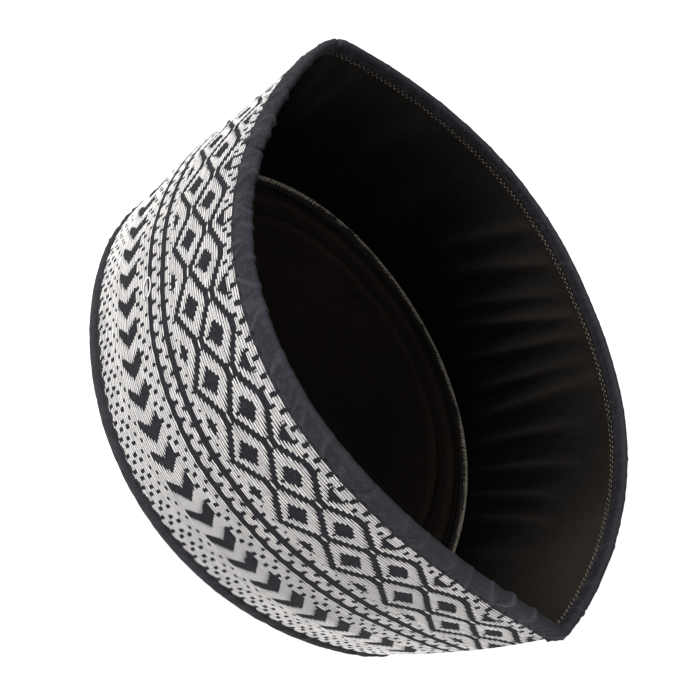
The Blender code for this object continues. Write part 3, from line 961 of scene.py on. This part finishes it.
class KUFI_PG_inside(bpy.types.PropertyGroup):
    """Linings and the crown seam"""
    # The wall lining's colour is dark cloth darkened further with painted shade, for the deep inside of
    # the cap.
    wall: colour_setting("Wall lining colour", (0.0011, 0.0010, 0.0009),
                         "Colour of the wall lining")
    # The wall lining's paler colour is painted light: on its fold ridges, towards the rim and near the +X
    # corner.
    painted_light_and_wear: colour_setting("Lining painted light colour", (0.025, 0.0205, 0.0170),
                         "Colour of the painted light on the wall lining's fold ridges, rim side and +X corner")
    crown: colour_setting("Crown lining colour", (0.030, 0.0235, 0.0195),
                          "Colour of the crown lining")
    stitches: colour_setting("Stitch colour", (0.56, 0.50, 0.42),
                             "Colour of the pale stitches inside")
    wrinkle_depth: length_setting("Wrinkle depth", 0.0006, 0.002,
                                  "Depth of the small wrinkles of the linings")


class KUFI_PG_stage(bpy.types.PropertyGroup):
    """Floor, lights and camera"""
    floor: colour_setting("Floor colour", (0.92, 0.92, 0.92), "Colour of the floor")
    sky: FloatProperty(
        name="Room light", description="Strength of the even light of the room",
        default=0.16, min=0.0, max=5.0)
    glow: FloatProperty(
        name="Floor glow", description="Strength of the light that the floor gives of itself",
        default=0.8, min=0.0, max=5.0)
    key: FloatProperty(
        name="Key light", description="Power of the main light",
        default=10.6, min=0.0, max=500.0, unit="POWER")
    azimuth: FloatProperty(
        name="Camera azimuth", description="Turn of the camera round the cap",
        default=math.radians(16.521), subtype="ANGLE")
    elevation: FloatProperty(
        name="Camera elevation", description="Height of the camera as an angle",
        default=math.radians(38.289), subtype="ANGLE")
    roll: FloatProperty(
        name="Camera roll", description="Tilt of the camera about its own line of sight",
        default=math.radians(60.734), subtype="ANGLE")
    distance: length_setting("Camera distance", 0.41899, 5.0, least=0.1,
                             description="From the camera to the point it looks at")


# The pieces.

def turns(count):
    """Even turns round the cap."""
    return np.arange(count) / count


class KUFI_OT_band_cloth(bpy.types.Operator):
    """Charcoal ground cloth of the wall, from the strip up into the fold of the tape"""
    bl_idname = "kufi.band_cloth"
    bl_label = "Band cloth"

    def execute(self, context):
        settings = context.scene.kufi_cloth
        turn = turns(600)
        foot = WALL.from_floor(turn, PIPING_HEIGHT + FRAME_GAP)
        head = WALL.from_rim(turn, TAPE_FOLD + GAP)
        outer, inner = np.linspace(0, 1, BAND_FACE_ROWS), np.linspace(1, 0, BAND_BACK_ROWS)
        share = np.concatenate([outer, inner])[:, None]
        rise = foot + (head - foot) * share
        out = np.concatenate([np.zeros(BAND_FACE_ROWS), np.full(BAND_BACK_ROWS, -BAND_CLOTH)])[:, None]
        out = out + np.where(out == 0, slack(turn, rise), 0.0)
        points = WALL.points(turn, rise, out)
        section = np.stack([share[:, 0] * BAND_SLANT, out[:, 0]], axis=-1)
        finish = woven_finish("band_ground", settings.ground, 0.00052, 0.00076, settings.relief,
                              roughness=0.9, sheen=0.02, mottle=0.3, shade=0.5,
                              lint=((0.2, 0.19, 0.2), 0.12))
        band = placed(ring_piece("band_cloth", points, section, finish), "band")
        return {"FINISHED"}


class KUFI_OT_pattern_threads(bpy.types.Operator):
    """White pattern threads: one closed float for each run of white along a row of the chart"""
    bl_idname = "kufi.pattern_threads"
    bl_label = "Pattern threads"

    def execute(self, context):
        settings = context.scene.kufi_threads
        row, drop, first, last, *ends = pattern_floats(settings)
        draw = np.random.default_rng(31)
        count = len(drop)
        jitter = settings.end_jitter / MM
        first = first + draw.normal(0, jitter, count).clip(-0.3, 0.3) * (ends[0] != TIED)
        last = last + draw.normal(0, jitter, count).clip(-0.3, 0.3) * (ends[1] != TIED)
        side = draw.normal(0, 0.022, count)
        height = settings.thread_height * draw.uniform(0.7, 1.25, count)[:, None]
        width = settings.thread_width * draw.uniform(0.9, 1.08, count)[:, None]
        tones = 1 + settings.tone_spread * draw.uniform(-1, 0.7, count)
        tones = tones * np.where(row % 2 == 0, 1.03, 0.93)
        # The two threads of a pair lie close. At a toothed end they lean together into one
        # tooth, so that a dark slit opens between two pairs.
        upper = np.where(row % 2 == 0, 1, -1)
        side = side + upper * settings.pair_lean / MM
        tooth = draw.uniform(-0.25, 0.35, (int(row.max()) // 2 + 1, 1 + int(CHART_LENGTH)))
        reach = 0.1 + tooth[row // 2, (first % CHART_LENGTH).astype(int)] - 0.25 * (upper < 0)
        first = first - reach * (ends[0] == TOOTHED)
        last = last + reach * (ends[1] == TOOTHED)
        toward = -upper * settings.tooth_pinch / MM / CHART_HEIGHT

        def by_kind(square, toothed, tied):
            return [np.choose(kind.astype(int), (square, toothed, tied)) for kind in ends]
        dive = by_kind(0.00008, 0.00002, 0.00004)
        slit = 0.0028 + 0.004 * tooth[row // 2, (first % CHART_LENGTH).astype(int)]
        slip = by_kind(0.0002, slit, 0.0003)
        tip = by_kind(0.8, 0.6, 0.6)
        neck = by_kind(1.0, 0.7, 1.0)
        pinch = [toward * (kind == TOOTHED) for kind in ends]
        first, last = first + wander(first, drop)[0], last + wander(last, drop)[0]
        finish = thread_finish("white_thread", settings.colour)
        for name, top, foot in THREAD_ZONES:
            chosen = (drop >= top) & (drop < foot)
            rows = (drop + side)[chosen]

            def rise_at(turn, rows=rows):
                x = (turn - np.floor(turn - BAND_SEAM_TURN + 1)) * CHART_LENGTH
                return 1 - (rows[:, None] + wander(x, rows[:, None])[1]) / CHART_HEIGHT

            threads = wall_threads(first[chosen] / CHART_LENGTH, last[chosen] / CHART_LENGTH,
                                   rise_at, width[chosen], height[chosen], slack, tones[chosen],
                                   tuple(depth[chosen] for depth in dive),
                                   tuple(reach[chosen] for reach in slip),
                                   tuple(share[chosen] for share in tip),
                                   tuple(share[chosen] for share in neck),
                                   tuple(lean[chosen] for lean in pinch))
            if len(threads.faces[0]) * 2 + len(threads.faces[1]) > MOST_TRIANGLES:
                raise RuntimeError(f"{name} has too many threads")
            thread_piece(name, threads, finish)
        return {"FINISHED"}


class KUFI_OT_loose_thread(bpy.types.Operator):
    """One pattern thread pulled up into a small loop"""
    bl_idname = "kufi.loose_thread"
    bl_label = "Loose thread"

    def execute(self, context):
        place = np.linspace(0, len(LOOSE_THREAD) - 1, LOOSE_THREAD_RINGS)
        line = np.stack([np.interp(place, np.arange(len(LOOSE_THREAD)), values)
                         for values in np.array(LOOSE_THREAD).T])
        bell = np.full(LOOSE_THREAD_SMOOTHING, 1 / LOOSE_THREAD_SMOOTHING)
        line = np.stack([np.convolve(np.pad(values, len(bell) // 2, mode="edge"), bell, "valid")
                         for values in line])
        x, drop, out = line
        turn, rise = x / CHART_LENGTH, 1 - drop / CHART_HEIGHT
        path = WALL.points(turn, rise, out * MM)
        up = WALL.outward(turn, rise)
        side = unit(np.cross(np.gradient(path, axis=0), up))
        colour = context.scene.kufi_threads.colour
        threads = thread_rings(path[None], side[None], up[None], 0.0005, 0.0003, 0.0, 1.1)
        finish = thread_finish("loose_white_thread", colour)
        thread_piece("loose_thread", threads, finish)
        return {"FINISHED"}


def tape_section():
    """The tape's section as a closed table: how far below the rim, how far out, how freely it
    puckers, and how much paler its fold top is, for wear and painted highlight. The outer leg, a
    half ellipse over the rim, and the inner leg."""
    leg = np.linspace(TAPE_OUTER_LEG - 0.0004, 0.0024, 14)
    outer = [(TAPE_OUTER_LEG, TAPE_OUTSIDE - 0.0007, 0.3, 0.0),
             (TAPE_OUTER_LEG - 0.0001, TAPE_OUTSIDE - 0.0003, 0.6, 0.25)]
    outer += [(drop, TAPE_OUTSIDE, 1.0, 0.0) for drop in leg]
    angle = np.linspace(0, np.pi, 15)[1:-1]
    middle, half = (TAPE_OUTSIDE + TAPE_INSIDE) / 2, (TAPE_OUTSIDE - TAPE_INSIDE) / 2
    # The arch is paler towards its top: wear and painted highlight.
    arch = [(0.0024 * (1 - np.sin(a) ** 0.8), middle + half * np.cos(a), 0.8, np.sin(a) ** 1.5)
            for a in angle]
    inner = [(drop, TAPE_INSIDE, 0.8, 0.0) for drop in np.linspace(0.0024, TAPE_INNER_LEG - 0.0003, 8)]
    inner += [(TAPE_INNER_LEG, TAPE_INSIDE + 0.0003, 0.4, 0.0),
              (TAPE_INNER_LEG, LINING_FACE - GAP, 0.0, 0.0),
              (TAPE_FOLD, LINING_FACE - GAP, 0.0, 0.0), (TAPE_FOLD, GAP, 0.0, 0.0),
              (TAPE_OUTER_LEG, GAP, 0.2, 0.0)]
    return np.array(outer + arch + inner)


def tape_puckers(settings, turn, drop):
    """Creases of the tape: deeper where it is gathered, and drawn in by each stitch of the row
    along its edge."""
    creases = scattered_creases(7, settings.puckers, (0.001, 0.008), (0.0005, 0.0011),
                                (0.002, 0.006), (0.25, 1.0), (-0.9, 0.9)) + list(TAPE_NICKS)
    broad = scattered_creases(8, 46, (0.001, 0.007), (0.002, 0.004), (0.004, 0.008),
                              (-0.5, 0.6), (-0.5, 0.5))
    local = np.mod(turn, 1.0)
    place = 0.3 + sum(more * np.exp(-((local - middle) / width) ** 2)
                      for more, middle, width in TAPE_GATHERS)
    ridge = creased(creases, turn, drop) + 0.7 * creased(broad, turn, drop)
    stitch = np.cos(2 * np.pi * turn * round(WALL.circuit / settings.stitch_pitch))
    drawn = 0.00012 + 0.00035 * np.clip(stitch, 0, 1) ** 3
    drawn = drawn * np.exp(-((drop - STITCH_DROP) / 0.0006) ** 2)
    return settings.pucker_depth * place * (ridge - 0.35) - drawn


class KUFI_OT_rim_tape(bpy.types.Operator):
    """Tape folded over the rim, puckered along both edges"""
    bl_idname = "kufi.rim_tape"
    bl_label = "Rim tape"

    def execute(self, context):
        settings = context.scene.kufi_tape
        turn = turns(1320)
        section = tape_section()
        drop, out, free, painted_light_and_wear = (column[:, None] for column in section.T)
        after, before = np.roll(section, -1, axis=0), np.roll(section, 1, axis=0)
        run = (after - before)[:, :2]
        run /= np.maximum(np.linalg.norm(run, axis=1, keepdims=True), 1e-9)
        push = tape_puckers(settings, turn, drop) * free
        waves = scattered_creases(9, 110, (0, 0), (0.0015, 0.003), (1, 1), (-1, 1), (0, 0))
        ripple = 0.00018 * creased(waves, turn, 0.0) * free
        # The section is walked up the outer leg, so its own left side faces away from the cloth.
        away = (turn - NOTCH_TURN) * WALL.circuit / NOTCH_WIDTH
        notch = NOTCH_DEPTH * np.exp(-away ** 2) * np.clip(1 - drop / 0.005, 0, 1)
        drops = drop + push * run[:, 1:2] + ripple + notch
        outs = out - push * run[:, 0:1]
        points = WALL.points(turn, WALL.from_rim(turn, drops), outs)
        finish = woven_finish("binding_cotton", settings.colour, 0.00034, 0.00034, 0.00009,
                              roughness=0.85, sheen=0.03, mottle=0.6, shade=0.3,
                              lint=((0.3, 0.3, 0.32), 0.08), fold=settings.painted_light_and_wear)
        # Painted highlight on the ridges of the puckers and painted shade in their hollows, added to the
        # paler fold top.
        painted_crest_shading = np.clip(push / settings.pucker_depth + 0.1, -0.6, 1) * 0.75
        marks = {"painted_light_and_wear": np.clip(painted_light_and_wear * 0.6 + painted_crest_shading, 0, 1)}
        tape = ring_piece("rim_tape", points, section[:, :2], finish, marks)
        placed(tape, "rim_binding")
        return {"FINISHED"}


class KUFI_OT_tape_stitches(bpy.types.Operator):
    """Row of dark stitches that holds the outer edge of the tape"""
    bl_idname = "kufi.tape_stitches"
    bl_label = "Tape stitches"

    def execute(self, context):
        settings = context.scene.kufi_tape
        count = round(WALL.circuit / settings.stitch_pitch)
        draw = np.random.default_rng(5)
        start = (np.arange(count) - 0.09) / count
        end = start + draw.uniform(0.15, 0.21, count) / count
        drop = STITCH_DROP + draw.normal(0, 0.00008, count)

        def rise_at(turn):
            return WALL.from_rim(turn, drop[:, None])

        def out(turn, rise):
            return TAPE_OUTSIDE + tape_puckers(settings, turn, drop[:, None]) + 0.00006
        threads = wall_threads(start, end, rise_at, 0.0007, 0.00012, out,
                               draw.uniform(0.6, 1.2, count), dive=0.0003, slip=0.0002)
        finish = thread_finish("tape_thread", (0.005, 0.005, 0.006), roughness=0.7)
        thread_piece("tape_stitches", threads, finish)
        return {"FINISHED"}


class KUFI_OT_crown_strip(bpy.types.Operator):
    """Dark strip round the edge of the crown, with an uneven upper edge"""
    bl_idname = "kufi.crown_strip"
    bl_label = "Crown strip"

    def execute(self, context):
        settings = context.scene.kufi_cloth
        turn = turns(1040)
        section = np.array([
            (0.0, PIPING_INSIDE), (0.0, -0.0013), (0.0, -0.0006), (0.0003, 0.0), (0.0010, 0.0006),
            (0.0019, 0.00085), (0.0028, PIPING_OUTSIDE), (0.0037, 0.0008), (0.0045, 0.0005),
            (0.0051, 0.0001), (PIPING_HEIGHT, -0.0002), (PIPING_HEIGHT, -0.0009),
            (PIPING_HEIGHT, -BAND_CLOTH), (CROWN_CLOTH + FRAME_GAP, -BAND_CLOTH),
            (CROWN_CLOTH, PIPING_INSIDE)])
        height, out = section[:, 0:1], section[:, 1:2]
        free = np.clip(height / 0.003, 0, 1) * (out > -0.001)
        creases = scattered_creases(12, 200, (0.001, 0.005), (0.0007, 0.0013), (0.002, 0.005),
                                    (-1.2, 1.0), (-1.4, -0.6))
        ripple = creased(creases, turn, height)
        scallop = np.cos(2 * np.pi * turn * round(CHART_LENGTH / SCALLOP_PITCH))
        height = height + free * (height > 0.004) * (0.0002 * scallop)
        out = out + 0.0006 * ripple * free
        rise = WALL.from_floor(turn, np.maximum(height, 0.0))
        points = WALL.points(turn, rise, out)
        finish = woven_finish("strip_cotton", settings.strip, 0.00034, 0.00034, 0.00006, roughness=0.85,
                              sheen=0.03, mottle=0.25, shade=0.3, lint=((0.25, 0.25, 0.27), 0.1))
        placed(ring_piece("crown_strip", points, section, finish), "crown_piping")
        return {"FINISHED"}


class KUFI_OT_crown_cloth(bpy.types.Operator):
    """Flat oval cloth of the crown, inside the strip"""
    bl_idname = "kufi.crown_cloth"
    bl_label = "Crown cloth"

    def execute(self, context):
        settings = context.scene.kufi_cloth
        turn = turns(360)
        edge = PIPING_INSIDE - FRAME_GAP
        low = WALL.points(turn, WALL.from_floor(turn, 0.0), edge)
        high = WALL.points(turn, WALL.from_floor(turn, CROWN_CLOTH), edge)
        shares = np.concatenate([np.linspace(0.06, 0.985, 24), [1.0]])
        middle = low.mean(axis=0)
        rings = [drawn_in(high, middle, share, CROWN_CLOTH) for share in shares]
        rings += [drawn_in(low, middle, share, 0.0) for share in shares[::-1]]
        finish = woven_finish("crown_cotton", settings.crown, 0.0006, 0.0005, 0.0001,
                              roughness=0.88, sheen=0.03, mottle=0.25, shade=0.4,
                              lint=((0.25, 0.25, 0.27), 0.08))
        top = np.array([middle[0], middle[1], CROWN_CLOTH])
        bottom = np.array([middle[0], middle[1], 0.0])
        piece = disc_piece("crown_cloth", np.array(rings), top, bottom, finish)
        placed(piece, "crown_panel")
        return {"FINISHED"}


def lining_folds(turn, rise):
    """How far the wall lining's folds stand in: each is a bell round the wall and a sine up it."""
    turn, rise = np.broadcast_arrays(turn, rise)
    total = np.zeros(turn.shape)
    for fold in LINING_FOLDS:
        middle = (fold.low + fold.high) / 2
        reach = np.clip((rise - fold.low) / (fold.high - fold.low), 0, 1)
        away = turn - fold.turn - fold.slant * (rise - middle)
        away = away - np.round(away)
        total += fold.depth * np.sin(np.pi * reach) ** 0.7 * np.exp(-(away / fold.width) ** 2)
    return total


class KUFI_OT_wall_lining(bpy.types.Operator):
    """Loose dark cloth inside the wall, folded where it is too long for it"""
    bl_idname = "kufi.wall_lining"
    bl_label = "Wall lining"

    def execute(self, context):
        settings = context.scene.kufi_inside
        turn = turns(860)
        foot = WALL.from_floor(turn, LINING_FLOOR)
        head = WALL.from_rim(turn, TAPE_FOLD + GAP)
        outer, inner = np.linspace(0, 1, LINING_BACK_ROWS), np.linspace(1, 0, LINING_FACE_ROWS)
        share = np.concatenate([outer, inner])[:, None]
        rise = foot + (head - foot) * share
        wrinkles = scattered_creases(21, 170, (0.1, 0.9), (0.001, 0.0026), (0.06, 0.3),
                                     (-0.6, 1.0), (-0.03, 0.03))
        hold = np.clip(np.sin(np.pi * np.clip((share - 0.09) / 0.84, 0, 1)), 0, 1) ** 0.5
        fine = settings.wrinkle_depth * creased(wrinkles, turn, rise) * hold
        stand = lining_folds(turn, rise) * np.clip((0.94 - share) / 0.05, 0, 1) + fine
        face = np.concatenate([np.full(LINING_BACK_ROWS, LINING_FACE + LINING_CLOTH),
                               np.full(LINING_FACE_ROWS, LINING_FACE)])[:, None]
        out = np.where(face == LINING_FACE, face - stand, face)
        points = WALL.points(turn, rise, out)
        section = np.stack([share[:, 0] * LINING_SLANT, face[:, 0]], axis=-1)
        finish = woven_finish("wall_lining", settings.wall, 0.0007, 0.0009, 0.00014, roughness=0.9,
                              sheen=0.0, mottle=0.6, shade=0.6, lint=((0.08, 0.068, 0.058), 0.12),
                              fold=settings.painted_light_and_wear)
        # Painted light: the cloth is paler towards the rim, in a pool near the +X corner and on the ridges
        # of its folds.
        painted_light_pool = 0.9 * np.exp(-((turn - 0.93) / 0.05) ** 2) * share
        painted_light_and_wear = np.clip(painted_light_pool - 0.05 + 0.6 * share ** 2.5 + 0.2 * (stand / 0.0015 - 0.2), 0, 1)
        lining = ring_piece("wall_lining_cloth", points, section, finish, {"painted_light_and_wear": painted_light_and_wear})
        placed(lining, "band_lining")
        return {"FINISHED"}


class KUFI_OT_crown_lining(bpy.types.Operator):
    """Soft cloth inside the crown, with a ridge where it is gathered into the seam"""
    bl_idname = "kufi.crown_lining"
    bl_label = "Crown lining"

    def execute(self, context):
        settings = context.scene.kufi_inside
        turn = turns(480)
        edge = WALL.points(turn, WALL.from_floor(turn, LINING_FLOOR), CROWN_LINING_EDGE)
        middle = edge.mean(axis=0)
        radius = np.linalg.norm((edge - middle)[:, :2], axis=1)
        shares = np.concatenate([np.linspace(0.05, 0.5, 14), np.linspace(0.53, 0.985, 34), [1.0]])
        wrinkles = scattered_creases(41, 60, (0.012, 0.05), (0.002, 0.006), (0.01, 0.03),
                                     (-0.6, 1.0), (-1.5, 1.5))
        rings = []
        for share in shares:
            inset = radius * (1 - share) - CROWN_LINING_EDGE
            height = np.interp(inset, LINING_INSETS, LINING_HEIGHTS)
            height += settings.wrinkle_depth * creased(wrinkles, turn, inset) * np.clip(share / 0.3, 0, 1)
            rings.append(drawn_in(edge, middle, share, np.maximum(height, LINING_FLOOR + 0.0004)))
        rings += [drawn_in(edge, middle, share, LINING_FLOOR) for share in (1.0, 0.7, 0.35, 0.05)]
        finish = woven_finish("crown_lining", settings.crown, 0.0007, 0.0007, 0.00012, roughness=0.9,
                              sheen=0.0, mottle=0.35, shade=0.5, lint=((0.08, 0.07, 0.06), 0.12))
        top = np.array([middle[0], middle[1], CROWN_LINING_MIDDLE])
        bottom = np.array([middle[0], middle[1], LINING_FLOOR])
        piece = disc_piece("crown_lining_cloth", np.array(rings), top, bottom, finish)
        placed(piece, "crown_lining")
        return {"FINISHED"}


class KUFI_OT_crown_seam(bpy.types.Operator):
    """Seam allowance standing up inside the wall, with overcast threads along its edge"""
    bl_idname = "kufi.crown_seam"
    bl_label = "Crown seam"

    def execute(self, context):
        settings = context.scene.kufi_inside
        turn = turns(900)
        section = np.array([
            (LINING_FLOOR, SEAM_OUTSIDE), (0.0040, SEAM_OUTSIDE), (SEAM_HEIGHT - 0.0006, SEAM_OUTSIDE),
            (SEAM_HEIGHT - 0.0002, SEAM_MIDDLE + 0.0004), (SEAM_HEIGHT, SEAM_MIDDLE),
            (SEAM_HEIGHT - 0.0002, SEAM_MIDDLE - 0.0004), (SEAM_HEIGHT - 0.0006, SEAM_INSIDE),
            (0.0050, SEAM_INSIDE), (0.0040, SEAM_INSIDE), (0.0030, SEAM_INSIDE),
            (LINING_FLOOR, SEAM_INSIDE)])
        creases = scattered_creases(51, 80, (0.002, 0.006), (0.002, 0.005), (0.002, 0.004),
                                    (-1, 1), (-0.5, 0.5))
        wave = creased(creases, turn, section[:, 0:1])
        free = np.clip((section[:, 0:1] - LINING_FLOOR) / 0.003, 0, 1)
        height = section[:, 0:1] + 0.0002 * wave * free
        out = section[:, 1:2] - np.where(section[:, 1:2] < SEAM_MIDDLE, 0.00025 * wave * free, 0)
        points = WALL.points(turn, WALL.from_floor(turn, height), out)
        finish = woven_finish("seam_cotton", (0.03, 0.026, 0.024), 0.0004, 0.0005, 0.0001, roughness=0.9,
                              sheen=0.0, mottle=0.3, shade=0.4)
        strip = ring_piece("seam_strip", points, section, finish)
        placed(strip, "crown_seam_allowance")

        draw = np.random.default_rng(52)
        count = OVERCAST_COUNT
        place = (np.arange(count) + draw.uniform(-0.25, 0.25, count)) / count
        lean = draw.uniform(0.0006, 0.0012, count) / WALL.circuit
        across = np.array([0.0, 0.25, 0.5, 0.75, 1.0])
        turn = place[:, None] + lean[:, None] * (across - 0.5) * 2
        depth = draw.uniform(0.0009, 0.0013, count)[:, None]
        height = SEAM_HEIGHT + 0.00008 - depth * np.abs(across * 2 - 1) ** 2
        out = SEAM_INSIDE - 0.0001 + (SEAM_OUTSIDE - SEAM_INSIDE + 0.0002) * across
        path = WALL.points(turn, WALL.from_floor(turn, height), out)
        side = unit(WALL.points(turn + 0.001, WALL.from_floor(turn, height), out) - path)
        up = unit(np.cross(np.gradient(path, axis=1), side))
        core = WALL.points(turn, WALL.from_floor(turn, SEAM_CORE), SEAM_MIDDLE)
        up *= np.sign((up * (path - core)).sum(axis=-1, keepdims=True))
        threads = thread_rings(path, side, up, 0.0010, 0.00018, 0.0001, draw.uniform(0.85, 1.25, count))
        finish = thread_finish("overcast_thread", settings.stitches, roughness=0.8)
        thread_piece("overcast_threads", threads, finish)
        return {"FINISHED"}


class KUFI_OT_inner_stitches(bpy.types.Operator):
    """Pale stitches on the lining, just below the inner edge of the tape"""
    bl_idname = "kufi.inner_stitches"
    bl_label = "Inner stitches"

    def execute(self, context):
        settings = context.scene.kufi_inside
        count = INNER_STITCH_COUNT
        draw = np.random.default_rng(61)
        place = np.arange(count)
        start = (place + 0.1) / count
        end = start + draw.uniform(0.9, 1.25, count) / count
        drop = INNER_STITCH_DROP + INNER_STITCH_STEP * (place % 2) + draw.normal(0, 0.0001, count)
        length = (end - start) * WALL.circuit
        along = np.stack([0 * length, 0.15 * length, 0.5 * length, 0.85 * length, length], axis=-1)
        turn = start[:, None] + along / WALL.circuit
        rise = WALL.from_rim(turn, drop[:, None])
        out = LINING_FACE - THREAD_FOOT
        path = WALL.points(turn, rise, out)
        up = -WALL.outward(turn, rise)
        side = unit(WALL.points(turn, rise + SIDE_STEP, out) - path)
        threads = thread_rings(path, side, up, 0.00036, 0.00016, 0.0002, draw.uniform(0.35, 0.65, count))
        finish = thread_finish("pale_thread", settings.stitches, roughness=0.75)
        thread_piece("inner_stitches", threads, finish)
        return {"FINISHED"}


class KUFI_OT_stage(bpy.types.Operator):
    """Pale floor, soft lights and the camera"""
    bl_idname = "kufi.stage"
    bl_label = "Stage"

    def execute(self, context):
        settings = context.scene.kufi_stage
        scene = context.scene
        mesh = bpy.data.meshes.new("floor")
        corners = [(x * FLOOR_HALF, y * FLOOR_HALF, 0) for x, y in ((-1, -1), (1, -1), (1, 1), (-1, 1))]
        mesh.from_pydata(corners, [], [(0, 1, 2, 3)])
        finish, tree, shader = new_material("floor_paper", 0.9, 0.0)
        shade = group_node(tree, "Mottle", mottle_group, amount=0.01)
        paper = tinted(tree, settings.floor, [shade.outputs["Shade"]])
        tree.links.new(paper, shader.inputs["Base Color"])
        shader.inputs["Emission Color"].default_value = (1.0, 1.0, 1.0, 1.0)
        shader.inputs["Emission Strength"].default_value = settings.glow
        mesh.materials.append(finish)
        floor = bpy.data.objects.new("floor", mesh)
        scene.collection.objects.link(floor)

        world = bpy.data.worlds.new("studio")
        world.use_nodes = True
        background = world.node_tree.nodes["Background"]
        background.inputs["Color"].default_value = (1.0, 1.0, 1.0, 1.0)
        background.inputs["Strength"].default_value = settings.sky
        scene.world = world

        a, e, roll = settings.azimuth, settings.elevation, settings.roll
        back = Vector((math.sin(a) * math.cos(e), -math.cos(a) * math.cos(e), math.sin(e)))
        level = Vector((0, 0, 1)).cross(back).normalized()
        above = back.cross(level)
        right = level * math.cos(roll) + above * math.sin(roll)
        up = above * math.cos(roll) - level * math.sin(roll)
        target = Vector(CAMERA_TARGET)
        place = target + back * settings.distance
        camera = bpy.data.cameras.new("camera")
        camera.lens, camera.sensor_width = CAMERA_LENS, CAMERA_SENSOR
        camera.clip_start, camera.clip_end = 0.01, 20.0
        eye = bpy.data.objects.new("camera", camera)
        eye.matrix_world = Matrix((
            (right.x, up.x, back.x, place.x), (right.y, up.y, back.y, place.y),
            (right.z, up.z, back.z, place.z), (0, 0, 0, 1)))
        scene.collection.objects.link(eye)
        scene.camera = eye

        for name, direction, size, power in (
                ("key_light", back * 0.55 + up * 0.8 - right * 0.42, 0.5, settings.key),
                ("fill_light", back * 0.8 - up * 0.1 - right * 0.6, 1.0, settings.key * 0.25),
                ("side_light", back * 0.8 - up * 0.6 + right * 0.1, 0.8, settings.key * 0.55)):
            light = bpy.data.lights.new(name, "AREA")
            light.shape, light.size, light.energy = "DISK", size, power
            lamp = bpy.data.objects.new(name, light)
            direction = direction.normalized()
            lamp.location = target + direction * LAMP_DISTANCE
            lamp.rotation_mode = "QUATERNION"
            lamp.rotation_quaternion = direction.to_track_quat("Z", "Y")
            scene.collection.objects.link(lamp)
        scene.view_settings.view_transform = "Standard"
        return {"FINISHED"}


# Panel and registration.

PIECE_STEPS = (KUFI_OT_band_cloth, KUFI_OT_pattern_threads, KUFI_OT_loose_thread, KUFI_OT_rim_tape,
               KUFI_OT_tape_stitches, KUFI_OT_crown_strip, KUFI_OT_crown_cloth,
               KUFI_OT_wall_lining, KUFI_OT_crown_lining, KUFI_OT_crown_seam,
               KUFI_OT_inner_stitches, KUFI_OT_stage)
SETTING_GROUPS = {"kufi_threads": KUFI_PG_threads, "kufi_cloth": KUFI_PG_cloth,
                  "kufi_tape": KUFI_PG_tape, "kufi_inside": KUFI_PG_inside,
                  "kufi_stage": KUFI_PG_stage}


class KUFI_PT_pieces(bpy.types.Panel):
    """Buttons that build the cap, and its settings"""
    bl_idname = "KUFI_PT_pieces"
    bl_label = "Kufi cap"
    bl_space_type = "VIEW_3D"
    bl_region_type = "UI"
    bl_category = "Kufi cap"

    def draw(self, context):
        column = self.layout.column(align=True)
        for step in PIECE_STEPS:
            column.operator(step.bl_idname)
        for key, group in SETTING_GROUPS.items():
            box = self.layout.box()
            box.label(text=group.__doc__)
            for name in group.__annotations__:
                box.prop(getattr(context.scene, key), name)


def register():
    for group in SETTING_GROUPS.values():
        bpy.utils.register_class(group)
    for step in (*PIECE_STEPS, KUFI_PT_pieces):
        bpy.utils.register_class(step)
    for key, group in SETTING_GROUPS.items():
        setattr(bpy.types.Scene, key, PointerProperty(type=group))


def unregister():
    for key in SETTING_GROUPS:
        delattr(bpy.types.Scene, key)
    for step in reversed((*PIECE_STEPS, KUFI_PT_pieces)):
        bpy.utils.unregister_class(step)
    for group in reversed(SETTING_GROUPS.values()):
        bpy.utils.unregister_class(group)


def main():
    """Build every piece in order."""
    register()
    for step in PIECE_STEPS:
        group, name = step.bl_idname.split(".")
        if getattr(getattr(bpy.ops, group), name)() != {"FINISHED"}:
            raise RuntimeError(f"{step.bl_label} didn't finish")


if __name__ == "__main__":
    main()
